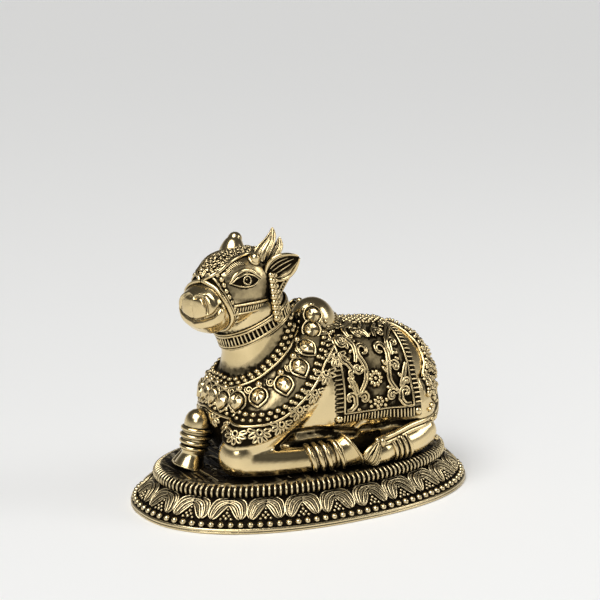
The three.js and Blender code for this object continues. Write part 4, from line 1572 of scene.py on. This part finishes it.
def brass(name, bright, worn, dark, darkness, smoothest, dent_depth):
    """Cast brass, bright where it is rubbed and nearly black in its hollows from patina, and dark too where
    painted shade is laid.
    """
    material, tree, shader = material_of(name)
    patina_and_shade_mask = node(tree, "Group", node_tree=PATINA_AND_SHADE, Grain=210.0, Darkness=darkness)
    place = node(tree, "TexCoord")["Object"]
    cloud = node(tree, "TexNoise", Vector=place, Scale=38.0, Detail=4.0)["Fac"]
    wear = node(tree, "MapRange", Value=cloud, From_Min=0.5, From_Max=0.75)["Result"]
    rubbed = node(tree, "Mix", data_type="RGBA", Factor=wear, A=(*bright, 1), B=(*worn, 1))["Result"]
    # The dark colour goes where patina lies and where painted shade is laid.
    colour = node(tree, "Mix", data_type="RGBA", Factor=patina_and_shade_mask["Patina_and_shade"], A=rubbed, B=(*dark, 1))["Result"]
    rough = node(tree, "MapRange", Value=patina_and_shade_mask["Patina_and_shade"], To_Min=smoothest, To_Max=0.62)["Result"]
    relief = node(tree, "MapRange", Value=patina_and_shade_mask["Patina_and_shade"], To_Min=0.1, To_Max=1.0)["Result"]
    bump = node(tree, "Bump", Height=patina_and_shade_mask["Dents"], Strength=relief, Distance=dent_depth * MM)["Normal"]
    for socket, source in (("Base Color", colour), ("Roughness", rough), ("Normal", bump)):
        tree.links.new(source, shader[socket])
    shader["Metallic"].default_value = 1.0
    return material


POLISHED = brass(
    "polished_brass", (0.78, 0.62, 0.34), (0.62, 0.48, 0.24), (0.014, 0.010, 0.005), 0.8, 0.2, 0.5
)
AGED = brass("aged_brass", (0.72, 0.59, 0.35), (0.54, 0.43, 0.23), (0.014, 0.010, 0.006), 0.85, 0.26, 1.6)
for made in pieces:
    made.data.materials.append(AGED if made.name == "lotus_plinth" else POLISHED)


# Stage, lights and camera
def stage():
    shape = bmesh.new()
    bmesh.ops.create_grid(shape, x_segments=1, y_segments=1, size=9)
    floor = as_object("floor", shape)
    material, _, shader = material_of("pale_floor")
    shader["Base Color"].default_value = (0.93, 0.93, 0.92, 1)
    shader["Roughness"].default_value = 0.5
    floor.data.materials.append(material)


def lamp(name, kind, place, aim, power, **settings):
    """A light at a place, turned to what it aims at."""
    light = bpy.data.lights.new(name, kind)
    light.energy = power
    for setting, value in settings.items():
        setattr(light, setting, value)
    made = bpy.data.objects.new(name, light)
    made.location = place
    made.rotation_euler = (Vector(place) - Vector(aim)).to_track_quat("Z", "Y").to_euler()
    bpy.context.collection.objects.link(made)


def room():
    """A pale room that darkens towards its ceiling."""
    world = bpy.data.worlds.new("room")
    world.use_nodes = True
    bpy.context.scene.world = world
    tree = world.node_tree
    rise = node(tree, "SeparateXYZ", node(tree, "TexCoord")["Generated"])["Z"]
    strength = node(
        tree, "MapRange", interpolation_type="SMOOTHSTEP", Value=rise,
        From_Min=-0.05, From_Max=0.42, To_Min=0.69, To_Max=0.07,
    )
    background = tree.nodes["Background"].inputs
    tree.links.new(strength["Result"], background["Strength"])
    background["Color"].default_value = (1, 0.99, 0.97, 1)


stage()
room()
BULL_MIDDLE = (0, 0, 0.05)
lamp("window", "AREA", (0.85, 0.75, 0.75), BULL_MIDDLE, 3, shape="RECTANGLE", size=0.5, size_y=0.5)
lamp("side", "AREA", (-0.9, 0.6, 0.7), BULL_MIDDLE, 3, shape="RECTANGLE", size=0.4, size_y=0.6)
lamp("daylight", "SUN", (0.4, 0.2, 0.9), (0, 0, 0), 2.6, angle=radians(45))
bpy.context.scene.view_settings.view_transform = "Standard"

camera = bpy.data.cameras.new("camera")
camera.lens = 99
camera.sensor_width = 36
camera.clip_end = 50
viewer = bpy.data.objects.new("camera", camera)
viewer.location = Vector((361.16, 636.52, 248.61)) * MM
AZIMUTH, ELEVATION = radians(150.5), radians(12.3)
flat = cos(ELEVATION)
back = Vector((sin(AZIMUTH) * flat, -cos(AZIMUTH) * flat, sin(ELEVATION)))
viewer.rotation_euler = back.to_track_quat("Z", "Y").to_euler()
bpy.context.collection.objects.link(viewer)
bpy.context.scene.camera = viewer
